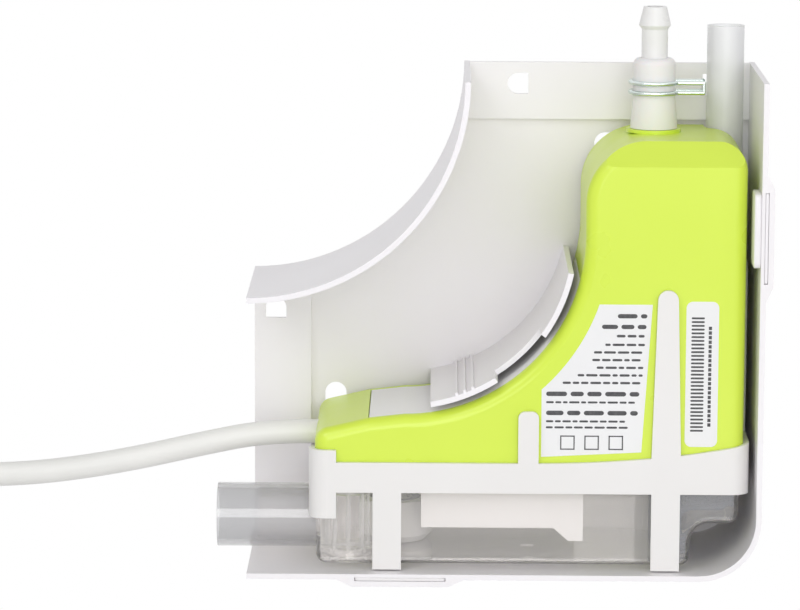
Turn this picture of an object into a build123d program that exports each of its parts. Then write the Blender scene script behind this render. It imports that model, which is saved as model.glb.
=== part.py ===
from build123d import *

import os
from math import cos, pi, radians, sin, tan

# Wall-mounted mini condensate pump in its moulded elbow tray, the cover and trunking taken off.
# Millimetres. X right, +Y into the wall, +Z up. The wall face of the tray is Y = 0 and its back sheet
# is centred on X = Z = 0. Depths are measured out from the wall, towards -Y.
# Profiles seen from the front are sketched on Plane.XZ, whose normal points out of the wall.

# ---------------------------------------------------------------- driving sizes: the tray
TRAY_W = 149.0
TRAY_H = 145.0
TRAY_D = 60.0
WALL = 1.6
PIPE_CURVE_R = 62.5       # quarter-circle cut out of the top left corner
CORNER_R = 18.0           # round bottom right corner
STRIP_W = 17.0            # raised edge strips that lie over the trunking's base
STRIP_RISE = 2.0
HOLE_D = 6.2              # D-shaped fixing holes in the strips
HOLE_EDGE = 6.4
HOLE_FAR = 70.5           # from the far wall
HOLE_NEAR = 12.5
SLOT_W = 6.4              # adjusting slots in the back sheet
SLOT_INSET = 24.4
SLOT_FAR = 47.5
SLOT_LENGTH = 16.0
PARTITION_GAP = 2.4       # from the casing's hollow side
PARTITION_D = 56.0
PARTITION_CUT = 12.0
PARTITION_RIB = 0.8
LATCH_L = 28.0            # cover-latch pockets in the two outer walls
LATCH_SLANT = 4.5
LATCH_OUT = 2.1
LATCH_D = 14.0
LATCH_BAR = 1.0
LATCH_END = 44.5          # pocket centre from the open end of its wall

# ---------------------------------------------------------------- driving sizes: casing and tank
SIDE_GAP = 3.5            # casing to the tray's right wall
FLOOR_GAP = 1.4           # tank to the tray's bottom wall
CASE_W = 124.4
CASE_H = 100.5
CASE_BACK = 5.0           # depth of the casing's rear face
CASE_FRONT = 54.0
CASE_WALL = 2.2
TOWER_W = 46.4
FOOT_H = 21.0
HOLLOW_R = 52.0           # hollow side between tower and foot
SHOULDER_R = 17.5
TOP_CORNER_R = 8.0
FOOT_END_H = 16.2         # height of the foot at its left end
CASE_CORNER_R = 4.2
EDGE_R = 3.5              # rounding of the front edges
SLOPE_D = 8.0             # slope across the tower's top front edge
SLOPE_H = 6.6
COVER_T = 2.0
LIP_H = 1.6
PAD_T = 1.2               # soft strip let into the hollow side
PAD_START = 10.5          # from the bottom of the hollow curve along the foot
PAD_TOP_ANGLE = -13.5
FIT = 0.1                 # clearance of parts that push together
SLIP = 0.3                # clearance of parts that pass each other

TANK_H = 21.75
TANK_INSET_L = 0.4
TANK_INSET_R = 1.2
TANK_BACK = 6.5
TANK_FRONT = 54.3
TANK_WALL = 1.5
TANK_R = 3.0
NOTCH_W = 13.8            # cut-away corner beside the tray's round corner
NOTCH_H = 12.5
NOTCH_R = 5.5
INLET_D = 40.0
INLET_DROP = 9.8          # inlet axis below the tank's rim
INLET_BORE = 12.4
SPIGOT_D = 15.6
SPIGOT_L = 17.0
SLEEVE_BORE = 15.0        # free end, for the drain tube
SLEEVE_D = 18.8
SLEEVE_L = 29.0

# ---------------------------------------------------------------- driving sizes: cradle
CRADLE_T = 1.6
LEDGE_T = 1.3
LEDGE_W = 2.2
BAND_H = 8.8
BAND_RISE = 6.3           # how far the band climbs towards its right end
STRAP_W = 8.3
STRAP_IN_L = 21.1         # strap centres from the casing's ends
STRAP_IN_R = 22.5
HOOK_T = 0.8
HOOK_L = 3.2
SHORT_FINGER_IN = 62.4    # from the casing's right end
SHORT_FINGER_W = 5.9
SHORT_FINGER_H = 15.3
LONG_FINGER_TIP_W = 5.9
LONG_FINGER_FOOT_W = 9.0
LONG_FINGER_H = 51.0
SIDE_FINGER_W = 8.0
SIDE_FINGER_D = 30.0
SIDE_FINGER_H = 52.6
POST_W = 8.0              # clip at the left front corner
POST_DEPTH = 5.9
POST_UP = 3.6
POST_DOWN = 7.7

# ---------------------------------------------------------------- driving sizes: outlet and breather
OUTLET_OFF = 2.6          # outlet axis left of the tower's middle
OUTLET_D = 22.0
OUTLET_SPIGOT_D = 9.0
OUTLET_BORE = 4.0
COLLAR_D = 16.0
COLLAR_H = 1.0
HOSE_D = 12.5
HOSE_FOOT_D = 13.8
HOSE_L = 20.6
HOSE_FOOT_L = 9.5
HOSE_ROUND = 2.0
BARB_STEM_D = 7.7
BARB_CREST_D = 9.4
BARB_TIP_D = 6.8
BARB_BORE = 4.6
BARB_OUT = 15.0           # height of the barb above the hose
CREST_DOWN = 5.4
BARB_IN = 9.0
CLIP_WIRE = 1.3
CLIP_UP = 12.0            # above the hose's foot
CLIP_PITCH = 2.9
CLIP_EAR = 8.0
CLIP_TIP = 2.6            # turned-out ends of the wire
TUBE_D = 11.0
TUBE_BORE = 8.0
TUBE_IN = 4.2             # from the casing's right end
TUBE_DEPTH = 9.8
TUBE_OUT = 30.15          # height of the breather tube above the casing
CHANNEL_H = 14.25         # open channel in the casing's side for the breather tube
CHANNEL_GAP = 0.5
VENT_H = 8.0

# ---------------------------------------------------------------- driving sizes: pump engine
CORE_D = 10.0
CORE_WALL = 0.8
CORE_L = 46.0
CORE_DOWN = 60.25         # foot of the core tube below the casing's top
BOBBIN_WALL = 1.2
BOBBIN_L = 32.0
BOBBIN_FLANGE_D = 25.0
FLANGE_T = 1.5
COIL_D = 23.4
YOKE_T = 1.6
YOKE_W = 20.0
PISTON_L = 22.0
PISTON_BORE = 3.2
PISTON_STROKE = 3.0
SPRING_WIRE = 0.6
SPRING_TURNS = 6
SEAT_T = 2.0
VALVE_D = 5.6
VALVE_WIRE = 0.4
VALVE_SPRING_TURNS = 3
HEAD_D = 15.0
HEAD_H = 8.0
MOUNT_T = 2.4
FITTING_BORE = 3.0
SUCTION_SPIGOT_D = 4.6
SUCTION_D = 6.4
SUCTION_OFF = 4.8         # right of the outlet axis
SUCTION_BEND_R = 8.0
FILTER_L = 4.6            # reach to the left and right of the suction tube
FILTER_R = 13.1
FILTER_DEPTH = 26.0
SHELF_T = 2.4

# ---------------------------------------------------------------- driving sizes: level sensing
FLOAT_IN = 23.2           # places of the parts in the foot, from the casing's left end
SENSOR_IN = 31.0
CAGE_IN = 9.6
BOARD_IN = 65.0
FLOAT_DEPTH = 23.0
FLOAT_D = 22.0
FLOAT_H = 12.4
FLOAT_BORE = 8.0
STEM_D = 7.0
STEM_L = 20.5
STEM_WALL = 1.0
MAGNET_D = 15.0
MAGNET_BORE = 10.4
MAGNET_H = 4.0
SENSOR_L = 38.6
SENSOR_BACK = 36.0
SENSOR_FRONT = 50.0
SENSOR_DROP = 12.6
SENSOR_TAB_W = 8.6
SENSOR_TAB_DROP = 3.8
PLATE_T = 1.2
CAGE_D = 13.6
CAGE_H = 18.6
CAGE_BARS = 8
BAR_D = 1.2

# ---------------------------------------------------------------- driving sizes: boards, screws, cable
BOARD_T = 1.6
BOARD_W = 46.0
BOARD_H = 15.6
BOARD_DEPTH = 44.0
POST_INSET = 4.0          # centres of the two posts from the board's ends
RELAY_W = 10.0
RELAY_T = 9.0
TRANSFORMER_W = 13.0
TRANSFORMER_T = 12.0
TERMINAL_W = 6.0
TERMINAL_T = 10.0
CAPACITOR_D = 8.0
CAPACITOR_L = 11.0
SCREW_D = 3.0
SCREW_HEAD_D = 5.6
SCREW_HEAD_H = 1.3
SCREW_L = 11.0
SCREW_EDGE = 5.2          # from the casing's outer faces
HOLLOW_SCREW_ANGLE = -54.0
SHOULDER_SCREW_ANGLE = 157.5
BOSS_D = 6.4
CABLE_D = 7.2
CABLE_DEPTH = 28.0
CABLE_UP = 11.2           # cable axis above the casing's bottom
GROMMET_D = 9.4
GROMMET_L = 4.0
CABLE_STUB = 0.6
LABEL_T = 0.12
LABEL_MARGIN = 1.5
LABEL_TOP = 7.8
SERIAL_W = 9.4
SERIAL_H = 42.6
SERIAL_INSET = 12.5
COIL_X = -207.0
COIL_Z = -90.0
COIL_DEPTH = 20.4
COIL_R = 34.4
COIL_BUNDLE_D = 21.6
TIE_ANGLE = 20.0
TIE_T = 1.0
TIE_W = 6.0
CORES = 4
CORE_WIRE_D = 2.0
CORE_WIRE_L = 24.0
FERRULE_L = 8.0
CLIP_GAP_ANGLE = 22.0

# ---------------------------------------------------------------- places worked out from them
LEFT, RIGHT = -TRAY_W / 2, TRAY_W / 2
BOTTOM, TOP = -TRAY_H / 2, TRAY_H / 2
INNER_RIGHT = RIGHT - WALL
INNER_BOTTOM = BOTTOM + WALL

TANK_BOTTOM = INNER_BOTTOM + FLOOR_GAP
TANK_TOP = TANK_BOTTOM + TANK_H
LEDGE_BOTTOM = TANK_TOP + FIT
CASE_BOTTOM = LEDGE_BOTTOM + LEDGE_T + FIT
CASE_TOP = CASE_BOTTOM + CASE_H
CASE_RIGHT = INNER_RIGHT - SIDE_GAP
CASE_LEFT = CASE_RIGHT - CASE_W
TOWER_LEFT = CASE_RIGHT - TOWER_W
OUTLET_X = CASE_RIGHT - TOWER_W / 2 - OUTLET_OFF
TUBE_X = CASE_RIGHT - TUBE_IN
SUCTION_X = OUTLET_X + SUCTION_OFF
STRAP_L = CASE_LEFT + STRAP_IN_L
STRAP_R = CASE_RIGHT - STRAP_IN_R
SHORT_FINGER_X = CASE_RIGHT - SHORT_FINGER_IN
FLOAT_X = CASE_LEFT + FLOAT_IN
SENSOR_X = CASE_LEFT + SENSOR_IN
CAGE_X = CASE_LEFT + CAGE_IN
BOARD_X = CASE_LEFT + BOARD_IN
FOOT_TOP = CASE_BOTTOM + FOOT_H
HOLLOW_X = TOWER_LEFT - HOLLOW_R
HOLLOW_Z = FOOT_TOP + HOLLOW_R
PARTITION_R = HOLLOW_R - PARTITION_GAP
PAD_X = HOLLOW_X - PAD_START
PAD_Z = FOOT_TOP - PAD_T
SHELL_BACK = CASE_BACK + COVER_T

TANK_LEFT = CASE_LEFT + TANK_INSET_L
TANK_RIGHT = CASE_RIGHT - TANK_INSET_R
NOTCH_X = TANK_RIGHT - NOTCH_W
NOTCH_Z = TANK_BOTTOM + NOTCH_H
TANK_FLOOR = TANK_BOTTOM + TANK_WALL
INLET_Z = TANK_TOP - INLET_DROP

CABLE_Z = CASE_BOTTOM + CABLE_UP
TUBE_TOP = CASE_TOP + TUBE_OUT
CHANNEL_FLOOR = CASE_TOP - CHANNEL_H
CORE_BASE = CASE_TOP - CORE_DOWN
HOSE_FOOT = CASE_TOP + COLLAR_H + FIT
HOSE_TOP = HOSE_FOOT + HOSE_L
BARB_TOP = HOSE_TOP + BARB_OUT
CORE_TOP = CORE_BASE + CORE_L
COIL_BASE = CORE_BASE + 6.0
BOBBIN_BORE = CORE_D + 2 * FIT
HEAD_TOP = CORE_TOP + HEAD_H
UPPER_MOUNT_D = HEAD_D + 4.0
LOWER_MOUNT_D = CORE_D + 8.0
UPPER_SHELF_Z = CORE_TOP + HEAD_H / 2
LOWER_SHELF_Z = CORE_BASE - SEAT_T - MOUNT_T / 2
BOARD_Z = CASE_BOTTOM + CASE_WALL + 1.0 + BOARD_H / 2
ENGINE_AXIS = Axis((OUTLET_X, -OUTLET_D, 0), (0, 0, 1))


def tray_face(inset=0.0):
    """Space inside the tray's outline, walls inset from their outer faces, open at the top and left."""
    with BuildSketch() as face:
        with Locations(((LEFT + RIGHT - inset) / 2, (BOTTOM + inset + TOP) / 2)):
            Rectangle(TRAY_W - inset, TRAY_H - inset)
        fillet(face.vertices().sort_by_distance((RIGHT, BOTTOM))[0], CORNER_R - inset)
        with Locations((LEFT, TOP)):
            Circle(PIPE_CURVE_R + inset, mode=Mode.SUBTRACT)
    return face.sketch


def case_face(inset=0.0):
    """Outline of the pump casing from the front: a tower and a foot joined by the hollow curve."""
    with BuildSketch() as face:
        with BuildLine():
            CenterArc((HOLLOW_X, HOLLOW_Z), HOLLOW_R, 270, 90)
            Polyline(
                (TOWER_LEFT, HOLLOW_Z),
                (TOWER_LEFT, CASE_TOP),
                (CASE_RIGHT, CASE_TOP),
                (CASE_RIGHT, CASE_BOTTOM),
                (CASE_LEFT, CASE_BOTTOM),
                (CASE_LEFT, CASE_BOTTOM + FOOT_END_H),
                (PAD_X, PAD_Z),
                (HOLLOW_X, FOOT_TOP),
            )
        make_face()
        fillet(face.vertices().sort_by_distance((TOWER_LEFT, CASE_TOP))[0], SHOULDER_R)
        fillet(face.vertices().sort_by_distance((CASE_RIGHT, CASE_TOP))[0], TOP_CORNER_R)
        fillet(face.vertices().group_by(Axis.Y)[0], CASE_CORNER_R)
        fillet(face.vertices().sort_by_distance((CASE_LEFT, CASE_BOTTOM + FOOT_END_H))[0], CASE_CORNER_R)
        if inset:
            offset(amount=-inset, kind=Kind.INTERSECTION)
    return face.sketch


def tank_face(inset=0.0):
    """Outline of the tank from the front, with the S-shaped end beside the tray's round corner."""
    left, right = TANK_LEFT + inset, TANK_RIGHT - inset
    floor, notch_x, notch_z = TANK_BOTTOM + inset, NOTCH_X - inset, NOTCH_Z + inset
    with BuildSketch() as face:
        with BuildLine():
            Polyline(
                (left, TANK_TOP),
                (left, floor),
                (notch_x, floor),
                (notch_x, notch_z),
                (right, notch_z),
                (right, TANK_TOP),
                close=True,
            )
        make_face()
        fillet(face.vertices().sort_by_distance((notch_x, notch_z))[0], NOTCH_R + inset)
        outer = [(left, floor), (notch_x, floor), (right, notch_z)]
        fillet([face.vertices().sort_by_distance(point)[0] for point in outer], TANK_R - inset)
    return face.sketch


def curve_band(inner_r, thickness, start, sweep):
    """Band that follows the hollow curve: a ring sector about the curve's centre, angles in degrees."""
    with BuildSketch() as band:
        with BuildLine():
            near = CenterArc((HOLLOW_X, HOLLOW_Z), inner_r, start, sweep)
            far = CenterArc((HOLLOW_X, HOLLOW_Z), inner_r + thickness, start, sweep)
            Line(near @ 0, far @ 0)
            Line(near @ 1, far @ 1)
        make_face()
    return band.sketch


# ================================================================ tray
# Latch pockets are drawn on planes at the rim: x along the wall, y outwards, depth back to the wall.
right_latch = Plane(origin=(RIGHT, -TRAY_D, TOP - LATCH_END), x_dir=(0, 0, -1), z_dir=(0, -1, 0))
bottom_latch = Plane(origin=(LEFT + LATCH_END, -TRAY_D, BOTTOM), x_dir=(-1, 0, 0), z_dir=(0, -1, 0))

# The partition stops at the same height as the tower's shoulder and at the same place along the foot.
PARTITION_START = -81.0
PARTITION_END = -11.5
CUT_START, CUT_END = -57.0, -35.0

with BuildPart() as wall_housing:
    with BuildSketch(Plane.XZ):
        add(tray_face())
    extrude(amount=TRAY_D)
    for plane in (right_latch, bottom_latch):
        with BuildSketch(plane):
            with BuildLine():
                Polyline(
                    (-LATCH_L / 2 - LATCH_SLANT, -WALL),
                    (-LATCH_L / 2 - LATCH_SLANT, 0),
                    (-LATCH_L / 2, LATCH_OUT),
                    (LATCH_L / 2, LATCH_OUT),
                    (LATCH_L / 2 + LATCH_SLANT, 0),
                    (LATCH_L / 2 + LATCH_SLANT, -WALL),
                    close=True,
                )
            make_face()
        extrude(amount=-LATCH_D)
    with BuildSketch(Plane.XZ.offset(WALL)):
        add(tray_face(WALL))
    extrude(amount=TRAY_D - WALL, mode=Mode.SUBTRACT)
    for plane in (right_latch, bottom_latch):
        with BuildSketch(plane):
            with Locations((0, (LATCH_OUT - 2 * WALL + LATCH_BAR) / 2)):
                Rectangle(LATCH_L - WALL, LATCH_OUT - LATCH_BAR)
        extrude(amount=WALL - LATCH_D, mode=Mode.SUBTRACT)

    # Raised strips along the two open ends, hollow behind, with a riser down to the back sheet.
    with BuildSketch(Plane.XZ.offset(WALL)) as strips:
        add(tray_face(WALL))
        with Locations(((RIGHT + LEFT + STRIP_W) / 2, (BOTTOM + TOP - STRIP_W) / 2)):
            Rectangle(TRAY_W - STRIP_W, TRAY_H - STRIP_W, mode=Mode.SUBTRACT)
    extrude(amount=STRIP_RISE)
    with BuildSketch(Plane.XZ):
        add(tray_face(WALL))
        with Locations(
            ((RIGHT + LEFT + STRIP_W - WALL) / 2, (BOTTOM + TOP - STRIP_W + WALL) / 2)
        ):
            Rectangle(TRAY_W - STRIP_W + WALL, TRAY_H - STRIP_W + WALL, mode=Mode.SUBTRACT)
    extrude(amount=STRIP_RISE, mode=Mode.SUBTRACT)

    # Curved partition over the casing's hollow side, cut back in the middle, ribbed on its pipe side.
    with BuildSketch(Plane.XZ.offset(WALL)):
        add(curve_band(PARTITION_R - WALL, WALL, PARTITION_START, PARTITION_END - PARTITION_START))
    extrude(amount=PARTITION_D - WALL)
    with BuildSketch(Plane.XZ.offset(PARTITION_D)):
        add(curve_band(PARTITION_R - 2 * WALL, 3 * WALL, CUT_START, CUT_END - CUT_START))
    extrude(amount=-PARTITION_CUT, mode=Mode.SUBTRACT)
    for rib_angle in (-72.0, -69.0, -66.0):
        with BuildSketch(Plane.XZ.offset(WALL)):
            add(curve_band(PARTITION_R - WALL - PARTITION_RIB, 2 * PARTITION_RIB, rib_angle, 1.0))
        extrude(amount=PARTITION_D - WALL)

    # D holes near both ends of each strip and an adjusting slot beside each strip.
    with BuildSketch(Plane.XZ):
        for x, turn in ((RIGHT - HOLE_FAR, 0), (RIGHT - HOLE_NEAR, 180)):
            with Locations(Location((x, TOP - HOLE_EDGE), turn)):
                Circle(HOLE_D / 2)
                with Locations((HOLE_D / 4, 0)):
                    Rectangle(HOLE_D / 2, HOLE_D)
        for z, turn in ((BOTTOM + HOLE_FAR, -90), (BOTTOM + HOLE_NEAR, 90)):
            with Locations(Location((LEFT + HOLE_EDGE, z), turn)):
                Circle(HOLE_D / 2)
                with Locations((HOLE_D / 4, 0)):
                    Rectangle(HOLE_D / 2, HOLE_D)
        with Locations((RIGHT - SLOT_FAR + SLOT_LENGTH / 2, TOP - SLOT_INSET)):
            SlotOverall(SLOT_LENGTH, SLOT_W)
        with Locations((LEFT + SLOT_INSET, BOTTOM + SLOT_FAR - SLOT_LENGTH / 2)):
            SlotOverall(SLOT_LENGTH, SLOT_W, rotation=90)
    extrude(amount=STRIP_RISE + 2 * WALL, mode=Mode.SUBTRACT)

    # Two standing ribs that the casing's rear cover comes up against.
    with BuildSketch(Plane.XZ.offset(WALL)):
        for x in (TOWER_LEFT + TOWER_W / 3, CASE_LEFT + CASE_W / 3):
            with Locations((x, CASE_BOTTOM + 2 * FOOT_H / 3)):
                Rectangle(WALL, FOOT_H / 3)
    extrude(amount=CASE_BACK - WALL - SLIP)

# ================================================================ casing
# The breather tube stands in a channel down the tower's rear right corner.
CHANNEL_R = TUBE_D / 2 + CHANNEL_GAP
shoulder_screw = Vector(SHOULDER_R - SCREW_EDGE, 0).rotate(Axis.Z, SHOULDER_SCREW_ANGLE)
hollow_screw = Vector(HOLLOW_R + SCREW_EDGE, 0).rotate(Axis.Z, HOLLOW_SCREW_ANGLE)
screw_places = [
    Vector(TOWER_LEFT + SHOULDER_R, CASE_TOP - SHOULDER_R) + shoulder_screw,
    Vector(HOLLOW_X, HOLLOW_Z) + hollow_screw,
    Vector(CASE_RIGHT - SCREW_EDGE, CHANNEL_FLOOR - CASE_WALL - SCREW_EDGE),
    Vector(CASE_RIGHT - SCREW_EDGE, CASE_BOTTOM + SCREW_EDGE),
    Vector(CASE_LEFT + CASE_WALL + GROMMET_L + BOSS_D, CASE_BOTTOM + SCREW_EDGE),
]


def channel_face():
    """Plan of the breather channel, open to the rear and to the right."""
    with BuildSketch() as face:
        with Locations((TUBE_X, -TUBE_DEPTH)):
            Circle(CHANNEL_R)
            with Locations((0, CHANNEL_R)):
                Rectangle(2 * CHANNEL_R, 2 * CHANNEL_R)
            with Locations((CHANNEL_R, CHANNEL_R / 2)):
                Rectangle(2 * CHANNEL_R, 3 * CHANNEL_R)
    return face.sketch


with BuildPart() as pump_front_shell:
    with BuildSketch(Plane.XZ.offset(SHELL_BACK)):
        add(case_face())
    extrude(amount=CASE_FRONT - SHELL_BACK)
    fillet(pump_front_shell.faces().sort_by(Axis.Y)[0].edges(), EDGE_R)
    with BuildSketch(Plane.YZ.offset(TOWER_LEFT - 1)):
        with BuildLine():
            Polyline(
                (-CASE_FRONT + SLOPE_D, CASE_TOP),
                (-CASE_FRONT, CASE_TOP - SLOPE_H),
                (-CASE_FRONT - SLOPE_D, CASE_TOP - SLOPE_H),
                (-CASE_FRONT - SLOPE_D, CASE_TOP + SLOPE_H),
                (-CASE_FRONT + SLOPE_D, CASE_TOP + SLOPE_H),
                close=True,
            )
        make_face()
    extrude(amount=TOWER_W + 2, mode=Mode.SUBTRACT)
    # Raised collar under the hose.
    with BuildSketch(Plane.XY.offset(CASE_TOP)):
        with Locations((OUTLET_X, -OUTLET_D)):
            Circle(COLLAR_D / 2)
    extrude(amount=COLLAR_H)

    # Hollow inside; the front part of the space stops under the slope.
    with BuildSketch(Plane.XZ.offset(SHELL_BACK)):
        add(case_face(CASE_WALL))
    extrude(amount=CASE_FRONT - SLOPE_D - CASE_WALL - SHELL_BACK, mode=Mode.SUBTRACT)
    with BuildSketch(Plane.XZ.offset(SHELL_BACK)):
        add(case_face(CASE_WALL))
        with Locations((CASE_RIGHT - TOWER_W / 2, CASE_TOP)):
            Rectangle(2 * TOWER_W, 2 * (SLOPE_H + 2 * CASE_WALL), mode=Mode.SUBTRACT)
    extrude(amount=CASE_FRONT - CASE_WALL - SHELL_BACK, mode=Mode.SUBTRACT)

    # Shelves that carry the engine's rubber rings, notched from the rear.
    for z, ring_d in ((UPPER_SHELF_Z, UPPER_MOUNT_D), (LOWER_SHELF_Z, LOWER_MOUNT_D)):
        with BuildSketch(Plane.XZ.offset(OUTLET_D)):
            add(case_face(CASE_WALL / 2))
            with Locations((OUTLET_X, z)):
                Rectangle(2 * TOWER_W, SHELF_T, mode=Mode.INTERSECT)
            with Locations((TOWER_LEFT - TOWER_W, z)):
                Rectangle(2 * TOWER_W, 2 * SHELF_T, mode=Mode.SUBTRACT)
        extrude(amount=CASE_FRONT - CASE_WALL - OUTLET_D)
        with BuildSketch(Plane.XY.offset(z - SHELF_T)):
            with Locations((OUTLET_X, -OUTLET_D)):
                Circle(ring_d / 2 + FIT)
        extrude(amount=2 * SHELF_T, mode=Mode.SUBTRACT)
    # Posts for the control board.
    with BuildSketch(Plane.XZ.offset(BOARD_DEPTH + BOARD_T + FIT)):
        with Locations((BOARD_X, BOARD_Z)):
            with GridLocations(BOARD_W - 2 * POST_INSET, BOARD_H, 2, 1):
                Circle(BOSS_D / 2)
    extrude(amount=CASE_FRONT - CASE_WALL - BOARD_DEPTH - BOARD_T)

    # Walls round the breather channel, then the channel itself.
    with BuildSketch(Plane.XY.offset(CHANNEL_FLOOR - CASE_WALL)):
        with Locations((TUBE_X, -TUBE_DEPTH)):
            Circle(CHANNEL_R + CASE_WALL)
            with Locations((0, CHANNEL_R)):
                Rectangle(2 * (CHANNEL_R + CASE_WALL), 2 * CHANNEL_R)
        with Locations((CASE_RIGHT + TOWER_W / 2, -CASE_FRONT / 2)):
            Rectangle(TOWER_W, CASE_FRONT, mode=Mode.SUBTRACT)
        with Locations((CASE_RIGHT, -SHELL_BACK + TOWER_W / 2)):
            Rectangle(2 * TOWER_W, TOWER_W, mode=Mode.SUBTRACT)
    extrude(amount=CASE_TOP - TOP_CORNER_R - CHANNEL_FLOOR + CASE_WALL)
    with BuildSketch(Plane.XZ.offset(SHELL_BACK)):
        add(case_face())
        with Locations((CASE_RIGHT, CASE_TOP)):
            Rectangle(
                2 * (CASE_RIGHT - TUBE_X + CHANNEL_R + CASE_WALL), 2 * TOP_CORNER_R, mode=Mode.INTERSECT
            )
    extrude(amount=TUBE_DEPTH + CHANNEL_R + CASE_WALL - SHELL_BACK)
    with BuildSketch(Plane.XY.offset(CHANNEL_FLOOR)):
        add(channel_face())
    extrude(amount=CASE_TOP, mode=Mode.SUBTRACT)
    # Vent spigot that the breather tube pushes onto.
    with BuildSketch(Plane.XY.offset(CHANNEL_FLOOR)):
        with Locations((TUBE_X, -TUBE_DEPTH)):
            Circle(TUBE_BORE / 2 + FIT)
    extrude(amount=VENT_H)
    with BuildSketch(Plane.XY.offset(CHANNEL_FLOOR - 2 * CASE_WALL)):
        with Locations((TUBE_X, -TUBE_DEPTH)):
            Circle(TUBE_BORE / 4)
    extrude(amount=VENT_H + 3 * CASE_WALL, mode=Mode.SUBTRACT)

    # Screw bosses from the front wall back to the cover.
    with BuildSketch(Plane.XZ.offset(SHELL_BACK + LIP_H)):
        with Locations(*screw_places):
            Circle(BOSS_D / 2)
    extrude(amount=CASE_FRONT - CASE_WALL - SHELL_BACK - LIP_H)
    with BuildSketch(Plane.XZ.offset(SHELL_BACK)):
        with Locations(*screw_places):
            Circle(SCREW_D / 2 + FIT / 2)
    extrude(amount=SCREW_L, mode=Mode.SUBTRACT)

    # Openings: outlet, cable, suction tube and sensor leads.
    with BuildSketch(Plane.XY.offset(CASE_TOP - 3 * CASE_WALL)):
        with Locations((OUTLET_X, -OUTLET_D)):
            Circle(OUTLET_SPIGOT_D / 2 + SLIP)
    extrude(amount=5 * CASE_WALL, mode=Mode.SUBTRACT)
    with BuildSketch(Plane.YZ.offset(CASE_LEFT - 1)):
        with Locations((-CABLE_DEPTH, CABLE_Z)):
            Circle(CABLE_D / 2 + FIT)
    extrude(amount=CASE_WALL + 3, mode=Mode.SUBTRACT)
    with BuildSketch(Plane.XY.offset(CASE_BOTTOM - 1)):
        with Locations((SUCTION_X, -OUTLET_D)):
            Circle(SUCTION_D / 2 + SLIP)
        with Locations((FLOAT_X, -FLOAT_DEPTH)):
            Circle(STEM_D / 2 - STEM_WALL)
    extrude(amount=CASE_WALL + 2, mode=Mode.SUBTRACT)
    # Seat for the soft strip on the hollow side.
    with BuildSketch(Plane.XZ.offset(SHELL_BACK)):
        add(curve_band(HOLLOW_R - PAD_T, 2 * PAD_T + FIT, -90.0, 90.0 + PAD_TOP_ANGLE))
        with BuildLine():
            Polyline(
                (HOLLOW_X, FOOT_TOP + PAD_T),
                (PAD_X, PAD_Z + PAD_T),
                (PAD_X, PAD_Z - PAD_T - FIT),
                (HOLLOW_X, FOOT_TOP - PAD_T - FIT),
                close=True,
            )
        make_face()
    extrude(amount=CASE_FRONT - EDGE_R - SHELL_BACK, mode=Mode.SUBTRACT)

with BuildPart() as curve_pad:
    with BuildSketch(Plane.XZ.offset(SHELL_BACK + SLIP)):
        add(curve_band(HOLLOW_R, PAD_T, -90.0, 90.0 + PAD_TOP_ANGLE - 0.3))
        with BuildLine():
            Polyline(
                (HOLLOW_X, FOOT_TOP),
                (PAD_X + SLIP, PAD_Z + FIT / 2),
                (PAD_X + SLIP, PAD_Z - PAD_T + FIT / 2),
                (HOLLOW_X, FOOT_TOP - PAD_T),
                close=True,
            )
        make_face()
    extrude(amount=CASE_FRONT - EDGE_R - SHELL_BACK - 2 * SLIP)

with BuildPart() as pump_rear_cover:
    with BuildSketch(Plane.XZ.offset(CASE_BACK)):
        add(case_face())
    extrude(amount=COVER_T)
    with BuildSketch(Plane.XZ.offset(SHELL_BACK)):
        add(case_face(CASE_WALL + FIT))
        add(case_face(2 * CASE_WALL), mode=Mode.SUBTRACT)
        with Locations(*screw_places):
            Circle(BOSS_D / 2 + SLIP, mode=Mode.SUBTRACT)
        with Locations((CASE_RIGHT, CASE_TOP)):
            Rectangle(
                2 * (CASE_RIGHT - TUBE_X + CHANNEL_R + CASE_WALL + SLIP),
                2 * (CASE_TOP - CHANNEL_FLOOR + 2 * CASE_WALL),
                mode=Mode.SUBTRACT,
            )
        with Locations((CASE_LEFT, CABLE_Z)):
            Rectangle(6 * CASE_WALL, GROMMET_D + 2, mode=Mode.SUBTRACT)
    extrude(amount=LIP_H)
    with BuildSketch(Plane.XY.offset(CHANNEL_FLOOR)):
        add(channel_face())
    extrude(amount=CASE_TOP, mode=Mode.SUBTRACT)
    with BuildSketch(Plane.XZ.offset(CASE_BACK)):
        with Locations(*screw_places):
            Circle(SCREW_D / 2 + SLIP)
    extrude(amount=COVER_T + LIP_H, mode=Mode.SUBTRACT)
    with BuildSketch(Plane.XZ.offset(CASE_BACK)):
        with Locations(*screw_places):
            Circle(SCREW_HEAD_D / 2 + SLIP)
    extrude(amount=SCREW_HEAD_H, mode=Mode.SUBTRACT)

with BuildPart() as cover_screws:
    with BuildSketch(Plane.XZ.offset(CASE_BACK + FIT)):
        with Locations(*screw_places):
            Circle(SCREW_HEAD_D / 2)
            RegularPolygon(SCREW_D / 3, 6, mode=Mode.SUBTRACT)
    extrude(amount=SCREW_HEAD_H - FIT)
    with BuildSketch(Plane.XZ.offset(CASE_BACK + SCREW_HEAD_H)):
        with Locations(*screw_places):
            Circle(SCREW_D / 2)
    extrude(amount=SCREW_L - FIT)

# ================================================================ cradle
BAND_TOP = LEDGE_BOTTOM + BAND_H
FRONT_IN = CASE_FRONT + SLIP
FRONT_OUT = FRONT_IN + CRADLE_T
RIM_LEFT, RIM_RIGHT = CASE_LEFT - FIT, CASE_RIGHT + FIT
RIM_BACK = CASE_BACK - FIT


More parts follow.
